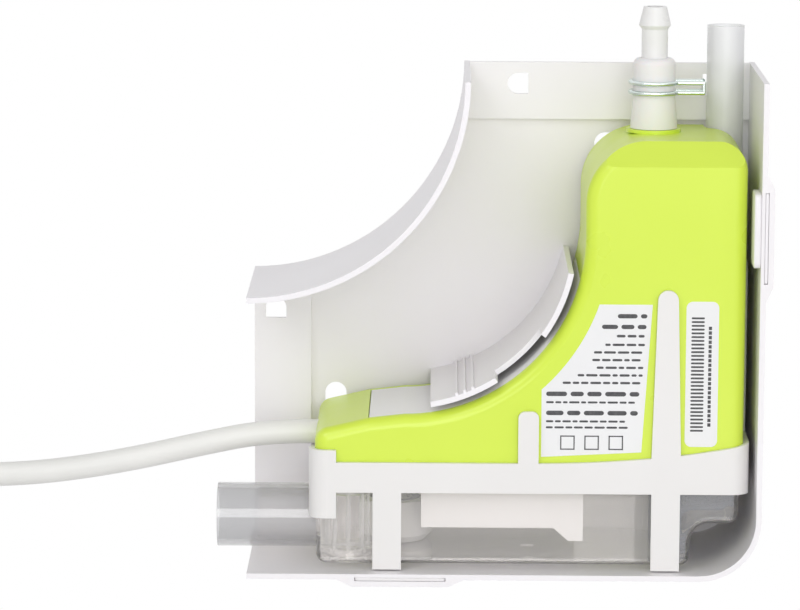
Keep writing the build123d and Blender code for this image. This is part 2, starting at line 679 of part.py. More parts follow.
def cradle_face(grow=0.0):
    """Plan of the cradle's inside, round at the front corners, grown by the given thickness."""
    with BuildSketch() as face:
        with Locations(((RIM_LEFT + RIM_RIGHT) / 2, -(RIM_BACK + FRONT_IN) / 2)):
            Rectangle(RIM_RIGHT - RIM_LEFT + 2 * grow, FRONT_IN - RIM_BACK + 2 * grow)
        fillet(face.vertices().group_by(Axis.Y)[0], EDGE_R + grow)
        if grow > 0:
            fillet(face.vertices().group_by(Axis.Y)[-1], grow)
    return face.sketch


with BuildPart() as reservoir_cradle:
    # Band round the casing's foot. Its top edge climbs towards the right end.
    with BuildSketch(Plane.XY.offset(LEDGE_BOTTOM)):
        add(cradle_face(CRADLE_T))
    extrude(amount=BAND_H + BAND_RISE)
    with BuildSketch(Plane.XY.offset(LEDGE_BOTTOM + LEDGE_T)):
        add(cradle_face())
    extrude(amount=BAND_H + BAND_RISE, mode=Mode.SUBTRACT)
    with BuildSketch(Plane.XY.offset(LEDGE_BOTTOM)):
        add(cradle_face(-LEDGE_W))
    extrude(amount=LEDGE_T, mode=Mode.SUBTRACT)
    with BuildSketch(Plane.XZ):
        with BuildLine():
            edge = Spline(
                (SHORT_FINGER_X, BAND_TOP),
                (STRAP_R, BAND_TOP + BAND_RISE / 3),
                (RIM_RIGHT + CRADLE_T + 1, BAND_TOP + BAND_RISE),
                tangents=[(1, 0), (1, 0.25)],
            )
            Polyline(
                edge @ 1,
                edge @ 1 + (0, BAND_RISE),
                (RIM_LEFT - 2 * CRADLE_T, BAND_TOP + 2 * BAND_RISE),
                (RIM_LEFT - 2 * CRADLE_T, BAND_TOP),
                edge @ 0,
            )
        make_face()
    extrude(amount=FRONT_OUT + 1, mode=Mode.SUBTRACT)

    # Corner post at the left front, standing above and below the band.
    with BuildSketch(Plane.XY.offset(LEDGE_BOTTOM - POST_DOWN)):
        add(cradle_face(CRADLE_T))
        add(cradle_face(0), mode=Mode.SUBTRACT)
        with Locations((RIM_LEFT, -FRONT_OUT)):
            Rectangle(2 * (POST_W - CRADLE_T), 2 * POST_DEPTH, mode=Mode.INTERSECT)
    extrude(amount=POST_DOWN + BAND_H + POST_UP)

    # Straps over the tank, front and back, each with a hook under the floor.
    with BuildSketch(Plane.XY.offset(TANK_BOTTOM - FIT - HOOK_T)):
        for x in (STRAP_L, STRAP_R):
            with Locations((x, -FRONT_OUT + CRADLE_T / 2)):
                Rectangle(STRAP_W, CRADLE_T)
            with Locations((x, -RIM_BACK + CRADLE_T / 2)):
                Rectangle(STRAP_W, CRADLE_T)
    extrude(amount=LEDGE_BOTTOM - TANK_BOTTOM + FIT + HOOK_T)
    with BuildSketch(Plane.XY.offset(TANK_BOTTOM - FIT - HOOK_T)):
        for x in (STRAP_L, STRAP_R):
            with Locations((x, -FRONT_IN + HOOK_L / 2)):
                Rectangle(STRAP_W, HOOK_L)
            with Locations((x, -RIM_BACK - HOOK_L / 2)):
                Rectangle(STRAP_W, HOOK_L)
    extrude(amount=HOOK_T)

    # Fingers that grip the casing's front, and one up its right side.
    with BuildSketch(Plane.XZ.offset(FRONT_IN)):
        with Locations((SHORT_FINGER_X, BAND_TOP + SHORT_FINGER_H / 2 - BAND_H / 2)):
            short_finger = Rectangle(SHORT_FINGER_W, SHORT_FINGER_H + BAND_H)
        fillet(short_finger.vertices().group_by(Axis.Y)[-1], SHORT_FINGER_W / 3)
        with BuildLine():
            tip_z = BAND_TOP + LONG_FINGER_H
            foot_z = LEDGE_BOTTOM + LEDGE_T
            tip = (STRAP_R - LONG_FINGER_TIP_W / 2, tip_z - LONG_FINGER_TIP_W / 2)
            crown = ThreePointArc(
                tip, (STRAP_R, tip_z), (STRAP_R + LONG_FINGER_TIP_W / 2, tip_z - LONG_FINGER_TIP_W / 2)
            )
            Polyline(
                crown @ 1,
                (STRAP_R + LONG_FINGER_FOOT_W / 2, foot_z),
                (STRAP_R - LONG_FINGER_FOOT_W / 2, foot_z),
                crown @ 0,
            )
        make_face()
    extrude(amount=CRADLE_T)
    with BuildSketch(Plane.YZ.offset(RIM_RIGHT)):
        with Locations((-SIDE_FINGER_D, BAND_TOP + SIDE_FINGER_H / 2)):
            SlotOverall(SIDE_FINGER_H + SIDE_FINGER_W, SIDE_FINGER_W, rotation=90)
    extrude(amount=CRADLE_T)

# ================================================================ tank
with BuildPart() as reservoir:
    with BuildSketch(Plane.XZ.offset(TANK_BACK)):
        add(tank_face())
    extrude(amount=TANK_FRONT - TANK_BACK)
    fillet(reservoir.edges().filter_by(Axis.Z).group_by(Axis.Y)[0].sort_by(Axis.X)[0], EDGE_R)
    with BuildSketch(Plane.XZ.offset(TANK_BACK + TANK_WALL)):
        add(tank_face(TANK_WALL))
    extrude(amount=TANK_FRONT - TANK_BACK - 2 * TANK_WALL, mode=Mode.SUBTRACT)
    with BuildSketch(Plane.YZ.offset(TANK_LEFT + TANK_WALL)):
        with Locations((-INLET_D, INLET_Z)):
            Circle(SPIGOT_D / 2)
    extrude(amount=-SPIGOT_L - TANK_WALL)
    with BuildSketch(Plane.YZ.offset(TANK_LEFT + 2 * TANK_WALL)):
        with Locations((-INLET_D, INLET_Z)):
            Circle(INLET_BORE / 2)
    extrude(amount=-SPIGOT_L - 3 * TANK_WALL, mode=Mode.SUBTRACT)
    # Ring on the floor that seats the strainer cage, and a pip at the front for the latch.
    with BuildSketch(Plane.XY.offset(TANK_FLOOR)):
        with Locations((CAGE_X, -INLET_D)):
            Circle(CAGE_D / 2 + TANK_WALL)
            Circle(CAGE_D / 2 + FIT, mode=Mode.SUBTRACT)
    extrude(amount=TANK_WALL)
    with BuildSketch(Plane.XY.offset(TANK_FLOOR)):
        with Locations((SHORT_FINGER_X, -TANK_FRONT + 2 * TANK_WALL)):
            Rectangle(2.4 * TANK_WALL, 2 * TANK_WALL)
    extrude(amount=NOTCH_H / 3)

with BuildPart() as inlet_sleeve:
    with BuildSketch(Plane.YZ.offset(TANK_LEFT - FIT)):
        with Locations((-INLET_D, INLET_Z)):
            Circle(SLEEVE_D / 2)
            Circle(SLEEVE_BORE / 2, mode=Mode.SUBTRACT)
    extrude(amount=-SLEEVE_L)
    # Wider where it is stretched over the tank's spigot.
    with BuildSketch(Plane.YZ.offset(TANK_LEFT)):
        with Locations((-INLET_D, INLET_Z)):
            Circle(SPIGOT_D / 2 + FIT / 2)
    extrude(amount=-SPIGOT_L - FIT, mode=Mode.SUBTRACT)

with BuildPart() as inlet_strainer:
    with BuildSketch(Plane.XY.offset(TANK_FLOOR + FIT)):
        with Locations((CAGE_X, -INLET_D)):
            Circle(CAGE_D / 2)
            Circle(CAGE_D / 2 - 2 * BAR_D, mode=Mode.SUBTRACT)
    extrude(amount=BAR_D)
    with BuildSketch(Plane.XY.offset(TANK_FLOOR + FIT + CAGE_H - BAR_D)):
        with Locations((CAGE_X, -INLET_D)):
            Circle(CAGE_D / 2)
            Circle(CAGE_D / 2 - 2 * BAR_D, mode=Mode.SUBTRACT)
    extrude(amount=BAR_D)
    with BuildSketch(Plane.XY.offset(TANK_FLOOR + FIT)):
        with Locations((CAGE_X, -INLET_D)):
            with PolarLocations(CAGE_D / 2 - BAR_D, CAGE_BARS):
                Circle(BAR_D / 2)
    extrude(amount=CAGE_H)

with BuildPart() as suction_filter:
    # Foam block round the suction tube's foot, cut to the tank's S-shaped end.
    with BuildSketch(Plane.XZ.offset((TANK_BACK + TANK_FRONT - FILTER_DEPTH) / 2)):
        with BuildLine():
            Polyline(
                (SUCTION_X - FILTER_L, CASE_BOTTOM - PLATE_T),
                (SUCTION_X - FILTER_L, TANK_FLOOR + FIT),
                (NOTCH_X - TANK_WALL - TANK_R, TANK_FLOOR + FIT),
                (NOTCH_X - TANK_WALL - SLIP, TANK_FLOOR + TANK_R),
                (NOTCH_X - TANK_WALL - SLIP, NOTCH_Z),
                (SUCTION_X + FILTER_R - TANK_R, NOTCH_Z + 2 * TANK_WALL),
                (SUCTION_X + FILTER_R, CASE_BOTTOM - PLATE_T),
                close=True,
            )
        make_face()
    extrude(amount=FILTER_DEPTH)
    with BuildSketch(Plane.XY.offset(TANK_FLOOR + 3 * TANK_WALL)):
        with Locations((SUCTION_X, -OUTLET_D)):
            Circle(SUCTION_D / 2 + FIT / 2)
    extrude(amount=TANK_H, mode=Mode.SUBTRACT)

# ================================================================ level sensing
with BuildPart() as sensor_housing:
    # Plate under the casing, long ledge and pointed tab, and the hollow stem that the float slides on.
    ledge_bottom = CASE_BOTTOM - FIT - SENSOR_DROP
    with BuildSketch(Plane.XZ.offset(SENSOR_BACK)):
        with BuildLine():
            Polyline(
                (SENSOR_X, CASE_BOTTOM - FIT),
                (SENSOR_X, ledge_bottom),
                (SENSOR_X + SENSOR_L, ledge_bottom),
                (SENSOR_X + SENSOR_L + SENSOR_TAB_W / 2, ledge_bottom - SENSOR_TAB_DROP),
                (SENSOR_X + SENSOR_L + SENSOR_TAB_W, ledge_bottom - SENSOR_TAB_DROP),
                (SENSOR_X + SENSOR_L + SENSOR_TAB_W, CASE_BOTTOM - FIT),
                close=True,
            )
        make_face()
    extrude(amount=SENSOR_FRONT - SENSOR_BACK)
    with BuildSketch(Plane.XY.offset(CASE_BOTTOM - FIT - PLATE_T)):
        with Locations((FLOAT_X, -FLOAT_DEPTH)):
            Circle(STEM_D)
        with Locations(((FLOAT_X + SENSOR_X) / 2 + STEM_D, -(FLOAT_DEPTH + SENSOR_FRONT) / 2)):
            Rectangle(3 * STEM_D, SENSOR_FRONT - FLOAT_DEPTH)
    extrude(amount=PLATE_T)
    with BuildSketch(Plane.XY.offset(CASE_BOTTOM - FIT - STEM_L)):
        with Locations((FLOAT_X, -FLOAT_DEPTH)):
            Circle(STEM_D / 2)
    extrude(amount=STEM_L)
    fillet(sensor_housing.faces().sort_by(Axis.Z)[0].edges(), STEM_WALL)
    with BuildSketch(Plane.XY.offset(CASE_BOTTOM)):
        with Locations((FLOAT_X, -FLOAT_DEPTH)):
            Circle(STEM_D / 2 - STEM_WALL)
    extrude(amount=STEM_WALL - STEM_L - FIT, mode=Mode.SUBTRACT)

with BuildPart() as level_sensor_board:
    stem_bore = STEM_D - 2 * STEM_WALL
    with BuildSketch(Plane.XY.offset(CASE_BOTTOM - FIT - STEM_L + STEM_WALL + FIT)):
        with Locations((FLOAT_X, -FLOAT_DEPTH)):
            Rectangle(stem_bore - 6 * FIT, BOARD_T)
    extrude(amount=STEM_L + CASE_WALL)

with BuildPart() as float_body:
    float_floor = TANK_FLOOR + SLIP
    with BuildSketch(Plane.XZ.offset(FLOAT_DEPTH)):
        with BuildLine():
            Polyline(
                (FLOAT_X + FLOAT_BORE / 2, float_floor),
                (FLOAT_X + FLOAT_D / 2 - 2, float_floor),
                (FLOAT_X + FLOAT_D / 2, float_floor + 2),
                (FLOAT_X + FLOAT_D / 2, float_floor + FLOAT_H),
                (FLOAT_X + FLOAT_BORE / 2, float_floor + FLOAT_H),
                close=True,
            )
        make_face()
    revolve(axis=Axis((FLOAT_X, -FLOAT_DEPTH, 0), (0, 0, 1)))
    with BuildSketch(Plane.XY.offset(float_floor + FLOAT_H)):
        with Locations((FLOAT_X, -FLOAT_DEPTH)):
            Circle(MAGNET_D / 2 + FIT / 2)
            Circle(MAGNET_BORE / 2 - FIT / 2, mode=Mode.SUBTRACT)
    extrude(amount=-MAGNET_H, mode=Mode.SUBTRACT)

with BuildPart() as float_magnet:
    with BuildSketch(Plane.XY.offset(float_floor + FLOAT_H)):
        with Locations((FLOAT_X, -FLOAT_DEPTH)):
            Circle(MAGNET_D / 2)
            Circle(MAGNET_BORE / 2, mode=Mode.SUBTRACT)
    extrude(amount=-MAGNET_H + FIT)

# ================================================================ pump engine
# Everything here turns about the vertical outlet axis.


def engine_tube(base, height, outer, bore=0.0):
    """Round piece on the engine's axis, solid or bored."""
    with BuildPart() as tube:
        with BuildSketch(Plane.XY.offset(base)):
            with Locations((OUTLET_X, -OUTLET_D)):
                Circle(outer / 2)
                if bore:
                    Circle(bore / 2, mode=Mode.SUBTRACT)
        extrude(amount=height)
    return tube.part


def wire_spring(base, top, radius, wire, turns):
    """Round wire wound on the engine's axis between two heights."""
    rise = top - base - wire
    with BuildPart() as spring:
        with BuildLine() as coil:
            Helix(rise / turns, rise, radius, center=(OUTLET_X, -OUTLET_D, base + wire / 2))
        with BuildSketch(Plane(origin=coil.line @ 0, z_dir=coil.line % 0)):
            Circle(wire / 2)
        sweep(is_frenet=True)
    return spring.part


CORE_BORE = CORE_D - 2 * CORE_WALL
with BuildPart() as core_tube:
    add(engine_tube(CORE_BASE, CORE_L, CORE_D, CORE_BORE))

with BuildPart() as solenoid_bobbin:
    add(engine_tube(COIL_BASE, BOBBIN_L, BOBBIN_BORE + 2 * BOBBIN_WALL, BOBBIN_BORE))
    add(engine_tube(COIL_BASE, FLANGE_T, BOBBIN_FLANGE_D, BOBBIN_BORE))
    add(engine_tube(COIL_BASE + BOBBIN_L - FLANGE_T, FLANGE_T, BOBBIN_FLANGE_D, BOBBIN_BORE))

with BuildPart() as solenoid_coil:
    winding_gap = FIT / 2
    add(engine_tube(
        COIL_BASE + FLANGE_T + winding_gap,
        BOBBIN_L - 2 * FLANGE_T - 2 * winding_gap,
        COIL_D,
        BOBBIN_BORE + 2 * BOBBIN_WALL + 2 * winding_gap,
    ))

with BuildPart() as solenoid_yoke:
    # Steel strip bent into a C over the coil's ends and down its left side.
    yoke_left = OUTLET_X - BOBBIN_FLANGE_D / 2 - SLIP - YOKE_T
    with BuildSketch(Plane.XZ.offset(OUTLET_D - YOKE_W / 2)) as strip:
        with BuildLine():
            Polyline(
                (OUTLET_X + BOBBIN_FLANGE_D / 2, COIL_BASE - FIT),
                (yoke_left + YOKE_T, COIL_BASE - FIT),
                (yoke_left + YOKE_T, COIL_BASE + BOBBIN_L + FIT),
                (OUTLET_X + BOBBIN_FLANGE_D / 2, COIL_BASE + BOBBIN_L + FIT),
                (OUTLET_X + BOBBIN_FLANGE_D / 2, COIL_BASE + BOBBIN_L + FIT + YOKE_T),
                (yoke_left, COIL_BASE + BOBBIN_L + FIT + YOKE_T),
                (yoke_left, COIL_BASE - FIT - YOKE_T),
                (OUTLET_X + BOBBIN_FLANGE_D / 2, COIL_BASE - FIT - YOKE_T),
                close=True,
            )
        make_face()
    extrude(amount=YOKE_W)
    with BuildSketch(Plane.XY.offset(CORE_BASE)):
        with Locations((OUTLET_X, -OUTLET_D)):
            Circle(CORE_D / 2 + FIT)
    extrude(amount=2 * CORE_L, mode=Mode.SUBTRACT)

with BuildPart() as inlet_fitting:
    # Plug in the core tube's foot with a spigot below for the suction tube; the spring stands on it.
    add(engine_tube(CORE_BASE - MOUNT_T - 2 * SEAT_T, MOUNT_T + 2 * SEAT_T, CORE_D, FITTING_BORE))
    add(engine_tube(CORE_BASE, SEAT_T, CORE_BORE - 2 * FIT, FITTING_BORE))
    add(engine_tube(CORE_BASE - MOUNT_T - 5 * SEAT_T, 3 * SEAT_T, SUCTION_SPIGOT_D, FITTING_BORE - 1.0))

PISTON_BASE = CORE_BASE + SEAT_T + 8.0
SEAT_UP = PISTON_BASE + PISTON_L + PISTON_STROKE + 1.5
with BuildPart() as piston:
    add(engine_tube(PISTON_BASE, PISTON_L, CORE_BORE - 2 * FIT, PISTON_BORE))
    # Spring seat bored into its foot.
    with BuildSketch(Plane.XY.offset(PISTON_BASE)):
        with Locations((OUTLET_X, -OUTLET_D)):
            Circle(CORE_BORE / 2 - 1.4)
    extrude(amount=SEAT_T, mode=Mode.SUBTRACT)

with BuildPart() as piston_spring:
    # Compression spring between the fitting and the seat bored in the piston's foot.
    spring_base = CORE_BASE + SEAT_T + FIT
    spring_top = PISTON_BASE + SEAT_T - FIT
    add(wire_spring(spring_base, spring_top, CORE_BORE / 2 - 1.4 - SPRING_WIRE, SPRING_WIRE, SPRING_TURNS))

with BuildPart() as valve_seat:
    add(engine_tube(SEAT_UP, SEAT_T, CORE_BORE - 2 * FIT, PISTON_BORE))

with BuildPart() as delivery_valve:
    with BuildSketch(Plane.XZ.offset(OUTLET_D)):
        with BuildLine():
            Polyline(
                (OUTLET_X, SEAT_UP + SEAT_T + FIT),
                (OUTLET_X + VALVE_D / 2, SEAT_UP + SEAT_T + FIT),
                (OUTLET_X + VALVE_D / 2, SEAT_UP + 2 * SEAT_T),
                (OUTLET_X + VALVE_D / 4, SEAT_UP + 2.5 * SEAT_T),
                (OUTLET_X, SEAT_UP + 2.5 * SEAT_T),
                close=True,
            )
        make_face()
    revolve(axis=ENGINE_AXIS)

with BuildPart() as outlet_head:
    # Screws over the core tube's top; its spigot passes through the collar into the hose.
    yoke_top = COIL_BASE + BOBBIN_L + FIT + YOKE_T
    add(engine_tube(yoke_top + FIT, CORE_TOP - yoke_top - FIT, HEAD_D, CORE_D + 2 * FIT))
    add(engine_tube(CORE_TOP, HEAD_H, HEAD_D, OUTLET_BORE))
    add(engine_tube(HEAD_TOP, HOSE_FOOT + HOSE_FOOT_L - 1.0 - HEAD_TOP, OUTLET_SPIGOT_D, OUTLET_BORE))
    add(engine_tube(CORE_TOP - HEAD_H / 4, HEAD_H / 4, CORE_BORE - 2 * FIT, OUTLET_BORE))

with BuildPart() as pump_mounts:
    # Two rubber rings carry the engine: one round the head, one round the inlet fitting.
    add(engine_tube(CORE_TOP + 2 * FIT, HEAD_H - 2 * FIT, UPPER_MOUNT_D, HEAD_D + FIT))
    add(engine_tube(CORE_BASE - MOUNT_T - SEAT_T, MOUNT_T, LOWER_MOUNT_D, CORE_D + FIT))

with BuildPart() as suction_tube:
    # From the fitting's spigot down beside the engine's axis and into the foam.
    suction_top = CORE_BASE - MOUNT_T - 2 * SEAT_T - FIT
    bend_z = suction_top - 4 * SEAT_T - SUCTION_BEND_R
    with BuildLine(Plane.XZ.offset(OUTLET_D)):
        FilletPolyline(
            (OUTLET_X, suction_top),
            (OUTLET_X, bend_z),
            (SUCTION_X, bend_z - 2 * SUCTION_D),
            (SUCTION_X, TANK_FLOOR + 3 * TANK_WALL + FIT),
            radius=SUCTION_BEND_R,
        )
    with BuildSketch(Plane.XY.offset(suction_top)):
        with Locations((OUTLET_X, -OUTLET_D)):
            Circle(SUCTION_D / 2)
            Circle(SUCTION_SPIGOT_D / 2 + FIT / 2, mode=Mode.SUBTRACT)
    sweep()

with BuildPart() as valve_spring:
    valve_top = SEAT_UP + 2.5 * SEAT_T
    plug_z = CORE_TOP - HEAD_H / 4
    add(wire_spring(valve_top + FIT, plug_z - FIT, VALVE_D / 3, VALVE_WIRE, VALVE_SPRING_TURNS))

# ================================================================ outlet
with BuildPart() as delivery_hose:
    with BuildSketch(Plane.XZ.offset(OUTLET_D)):
        with BuildLine():
            Polyline(
                (OUTLET_X + OUTLET_SPIGOT_D / 2 + FIT / 2, HOSE_FOOT),
                (OUTLET_X + HOSE_FOOT_D / 2, HOSE_FOOT),
                (OUTLET_X + HOSE_D / 2, HOSE_FOOT + HOSE_FOOT_L),
                (OUTLET_X + HOSE_D / 2, HOSE_TOP),
                (OUTLET_X + BARB_STEM_D / 2 + FIT / 2, HOSE_TOP),
                (OUTLET_X + BARB_STEM_D / 2 + FIT / 2, HOSE_FOOT + HOSE_FOOT_L),
                (OUTLET_X + OUTLET_SPIGOT_D / 2 + FIT / 2, HOSE_FOOT + HOSE_FOOT_L),
                close=True,
            )
        make_face()
    revolve(axis=ENGINE_AXIS)
    fillet(delivery_hose.edges().group_by(Axis.Z)[-1].sort_by(SortBy.LENGTH)[-1], HOSE_ROUND)

with BuildPart() as barb_adaptor:
    crest_z = BARB_TOP - CREST_DOWN
    with BuildSketch(Plane.XZ.offset(OUTLET_D)):
        with BuildLine():
            Polyline(
                (OUTLET_X + BARB_BORE / 2, HOSE_TOP - BARB_IN),
                (OUTLET_X + BARB_STEM_D / 2, HOSE_TOP - BARB_IN),
                (OUTLET_X + BARB_STEM_D / 2, crest_z - 1.2),
                (OUTLET_X + BARB_CREST_D / 2, crest_z),
                (OUTLET_X + BARB_TIP_D / 2, BARB_TOP),
                (OUTLET_X + BARB_BORE / 2, BARB_TOP),
                close=True,
            )
        make_face()
    revolve(axis=ENGINE_AXIS)

with BuildPart() as breather_tube:
    with BuildSketch(Plane.XY.offset(CHANNEL_FLOOR + SLIP)):
        with Locations((TUBE_X, -TUBE_DEPTH)):
            Circle(TUBE_D / 2)
            Circle(TUBE_BORE / 2, mode=Mode.SUBTRACT)
    extrude(amount=TUBE_TOP - CHANNEL_FLOOR - SLIP)
    # Wider where it is stretched over the vent spigot.
    with BuildSketch(Plane.XY.offset(CHANNEL_FLOOR)):
        with Locations((TUBE_X, -TUBE_DEPTH)):
            Circle(TUBE_BORE / 2 + 2 * FIT)
    extrude(amount=VENT_H + FIT, mode=Mode.SUBTRACT)

with BuildPart() as hose_clip:
    # Spring clip of one wire: two rings joined by a loop at the front ear, two turned tips at the rear.
    ring_r = HOSE_D / 2 + CLIP_WIRE / 2 + FIT / 2
    clip_z = HOSE_FOOT + CLIP_UP
    leg_x = OUTLET_X + ring_r * cos(radians(CLIP_GAP_ANGLE))
    leg_out = ring_r * sin(radians(CLIP_GAP_ANGLE))
    ring_start = Plane(
        origin=(leg_x, leg_out - OUTLET_D, clip_z),
        x_dir=(0, 0, 1),
        z_dir=(-sin(radians(CLIP_GAP_ANGLE)), cos(radians(CLIP_GAP_ANGLE)), 0),
    )
    with BuildSketch(ring_start):
        with GridLocations(CLIP_PITCH, 0, 2, 1):
            Circle(CLIP_WIRE / 2)
    revolve(axis=ENGINE_AXIS, revolution_arc=360 - 2 * CLIP_GAP_ANGLE)
    for rise in (-CLIP_PITCH / 2, CLIP_PITCH / 2):
        for leg_y in (-OUTLET_D - leg_out, -OUTLET_D + leg_out):
            with Locations((leg_x, leg_y, clip_z + rise), (leg_x + CLIP_EAR, leg_y, clip_z + rise)):
                Sphere(CLIP_WIRE / 2)
            with Locations(Location((leg_x + CLIP_EAR / 2, leg_y, clip_z + rise), (0, 90, 0))):
                Cylinder(CLIP_WIRE / 2, CLIP_EAR)
        with Locations(Location((leg_x + CLIP_EAR, leg_out - OUTLET_D + CLIP_TIP / 2, clip_z + rise), (90, 0, 0))):
            Cylinder(CLIP_WIRE / 2, CLIP_TIP)
    with Locations((leg_x + CLIP_EAR, -OUTLET_D - leg_out, clip_z)):
        Cylinder(CLIP_WIRE / 2, CLIP_PITCH)

# ================================================================ boards, labels
with BuildPart() as control_board:
    # Board on the shell's posts with a transformer, relay, capacitor and terminal on its rear side.
    with BuildSketch(Plane.XZ.offset(BOARD_DEPTH)):
        with Locations((BOARD_X, BOARD_Z)):
            Rectangle(BOARD_W, BOARD_H)
    extrude(amount=BOARD_T)
    for x, width, rise in (
        (BOARD_X - BOARD_W / 3, RELAY_W, RELAY_T),
        (BOARD_X, TRANSFORMER_W, TRANSFORMER_T),
        (BOARD_X + BOARD_W / 4, TERMINAL_W, TERMINAL_T),
    ):
        with BuildSketch(Plane.XZ.offset(BOARD_DEPTH)):
            with Locations((x, BOARD_Z)):
                Rectangle(width, BOARD_H - 2 * BOARD_T)
        extrude(amount=-rise)
    with BuildSketch(Plane.XZ.offset(BOARD_DEPTH)):
        with Locations((BOARD_X + BOARD_W / 2 - CAPACITOR_D / 2, BOARD_Z)):
            Circle(CAPACITOR_D / 2)
    extrude(amount=-CAPACITOR_L)

with BuildPart() as rating_label:
    # Bare sticker between the two fingers, its left edge following the hollow curve.
    label_left = SHORT_FINGER_X + SHORT_FINGER_W / 2 + LABEL_MARGIN / 2
    label_foot = BAND_TOP + 1.2 * LABEL_MARGIN
    label_curve_r = HOLLOW_R + EDGE_R + 2.5 * LABEL_MARGIN
    with BuildSketch(Plane.XZ.offset(CASE_FRONT)):
        with BuildLine():
            Polyline(
                (label_left, label_foot),
                (STRAP_R - LONG_FINGER_FOOT_W / 2 - 1.8 * LABEL_MARGIN, label_foot + LABEL_MARGIN),
                (STRAP_R - LONG_FINGER_TIP_W / 2 - LABEL_MARGIN, LABEL_TOP),
                (label_left, LABEL_TOP),
                close=True,
            )
        make_face()
        with Locations((HOLLOW_X, HOLLOW_Z)):
            Circle(label_curve_r, mode=Mode.SUBTRACT)
    extrude(amount=LABEL_T)

with BuildPart() as serial_label:
    with BuildSketch(Plane.XZ.offset(CASE_FRONT)):
        with Locations((CASE_RIGHT - SERIAL_INSET, (LABEL_TOP + BAND_TOP) / 2 + 2 * LABEL_MARGIN)):
            RectangleRounded(SERIAL_W, SERIAL_H, SERIAL_W / 5)
    extrude(amount=LABEL_T)

# ================================================================ cable
with BuildPart() as cable_grommet:
    # Moulded sleeve inside the foot, flat under its sloping top, with a stub through the end wall.
    with BuildSketch(Plane.YZ.offset(CASE_LEFT + CASE_WALL + FIT)):
        with Locations((-CABLE_DEPTH, CABLE_Z)):
            Circle(GROMMET_D / 2)
    extrude(amount=GROMMET_L)
    with BuildSketch(Plane.XZ):
        add(case_face(CASE_WALL + FIT))
    extrude(amount=CASE_FRONT, mode=Mode.INTERSECT)
    with BuildSketch(Plane.YZ.offset(CASE_LEFT - CABLE_STUB)):
        with Locations((-CABLE_DEPTH, CABLE_Z)):
            Circle(CABLE_D / 2)
    extrude(amount=CABLE_STUB + CASE_WALL + 2 * FIT)

CABLE_START = CASE_LEFT - CABLE_STUB
cable_route = [
    (CABLE_START, -CABLE_DEPTH, CABLE_Z),
    (-70.0, -CABLE_DEPTH, CABLE_Z),
    (-89.0, -28.2, -38.9),
    (-106.0, -28.0, -42.9),
    (-122.0, -27.6, -46.0),
    (-139.0, -28.0, -48.2),
    (-159.0, -25.0, -49.6),
    (-178.2, -21.2, -51.3),
]
tail_route = [
    (-245.8, -21.0, -119.0),
    (-245.0, -20.0, -135.0),
    (-243.0, -19.6, -150.0),
]


def bend_radii(route):
    """Largest even radius at each corner of a route: 0.45 of the shorter run over tan of half the turn."""
    runs = [Vector(*b) - Vector(*a) for a, b in zip(route, route[1:])]
    return [
        0.45 * min(a.length, b.length) / tan(radians(a.get_angle(b) / 2))
        for a, b in zip(runs, runs[1:])
    ]


def cable_solid(route):
    """Tube along straight runs joined by tangent arcs."""
    with BuildPart() as tube:
        with BuildLine() as path:
            FilletPolyline(*route, radius=bend_radii(route))
        with BuildSketch(Plane(origin=path.line @ 0, z_dir=path.line % 0)):
            Circle(CABLE_D / 2)
        sweep()
    length = sum(edge.length for edge in path.edges())
    share = tube.part.volume / (length * pi * CABLE_D**2 / 4)
    print("radii", [round(radius) for radius in bend_radii(route)], "length", round(length), "volume", round(share, 4))
    return tube.part


with BuildPart() as power_cable:
    add(cable_solid(cable_route))

with BuildPart() as cable_tail:
    add(cable_solid(tail_route))

with BuildPart() as cable_coil:
    with Locations(Location((COIL_X, -COIL_DEPTH, COIL_Z), (90, 0, 0))):
        Torus(COIL_R, COIL_BUNDLE_D / 2)

with BuildPart() as coil_tie:
    # Strap round the bundle on the coil's right side.
    tie_x = COIL_X + COIL_R * cos(radians(TIE_ANGLE))
    tie_z = COIL_Z + COIL_R * sin(radians(TIE_ANGLE))
    along = (-sin(radians(TIE_ANGLE)), 0, cos(radians(TIE_ANGLE)))
    with BuildSketch(Plane(origin=(tie_x, -COIL_DEPTH, tie_z), z_dir=along)):
        Circle(COIL_BUNDLE_D / 2 + TIE_T + SLIP)
        Circle(COIL_BUNDLE_D / 2 + SLIP, mode=Mode.SUBTRACT)
    extrude(amount=TIE_W / 2, both=True)

with BuildPart() as cable_cores:
    # Stripped cores in a square, each with a crimped ferrule further down.
    tail_x, tail_y, tail_z = tail_route[-1]
    tail_z -= CABLE_STUB
    with BuildSketch(Plane.XY.offset(tail_z)):
        with Locations((tail_x, tail_y)):
            with PolarLocations(CABLE_D / 4, CORES):
                Circle(CORE_WIRE_D / 2)
    extrude(amount=-CORE_WIRE_L)

with BuildPart() as core_ferrules:
    with BuildSketch(Plane.XY.offset(tail_z - CORE_WIRE_L)):
        with Locations((tail_x, tail_y)):
            with PolarLocations(CABLE_D / 4, CORES):
                Circle(CORE_WIRE_D / 2 - FIT)
    extrude(amount=-FERRULE_L)

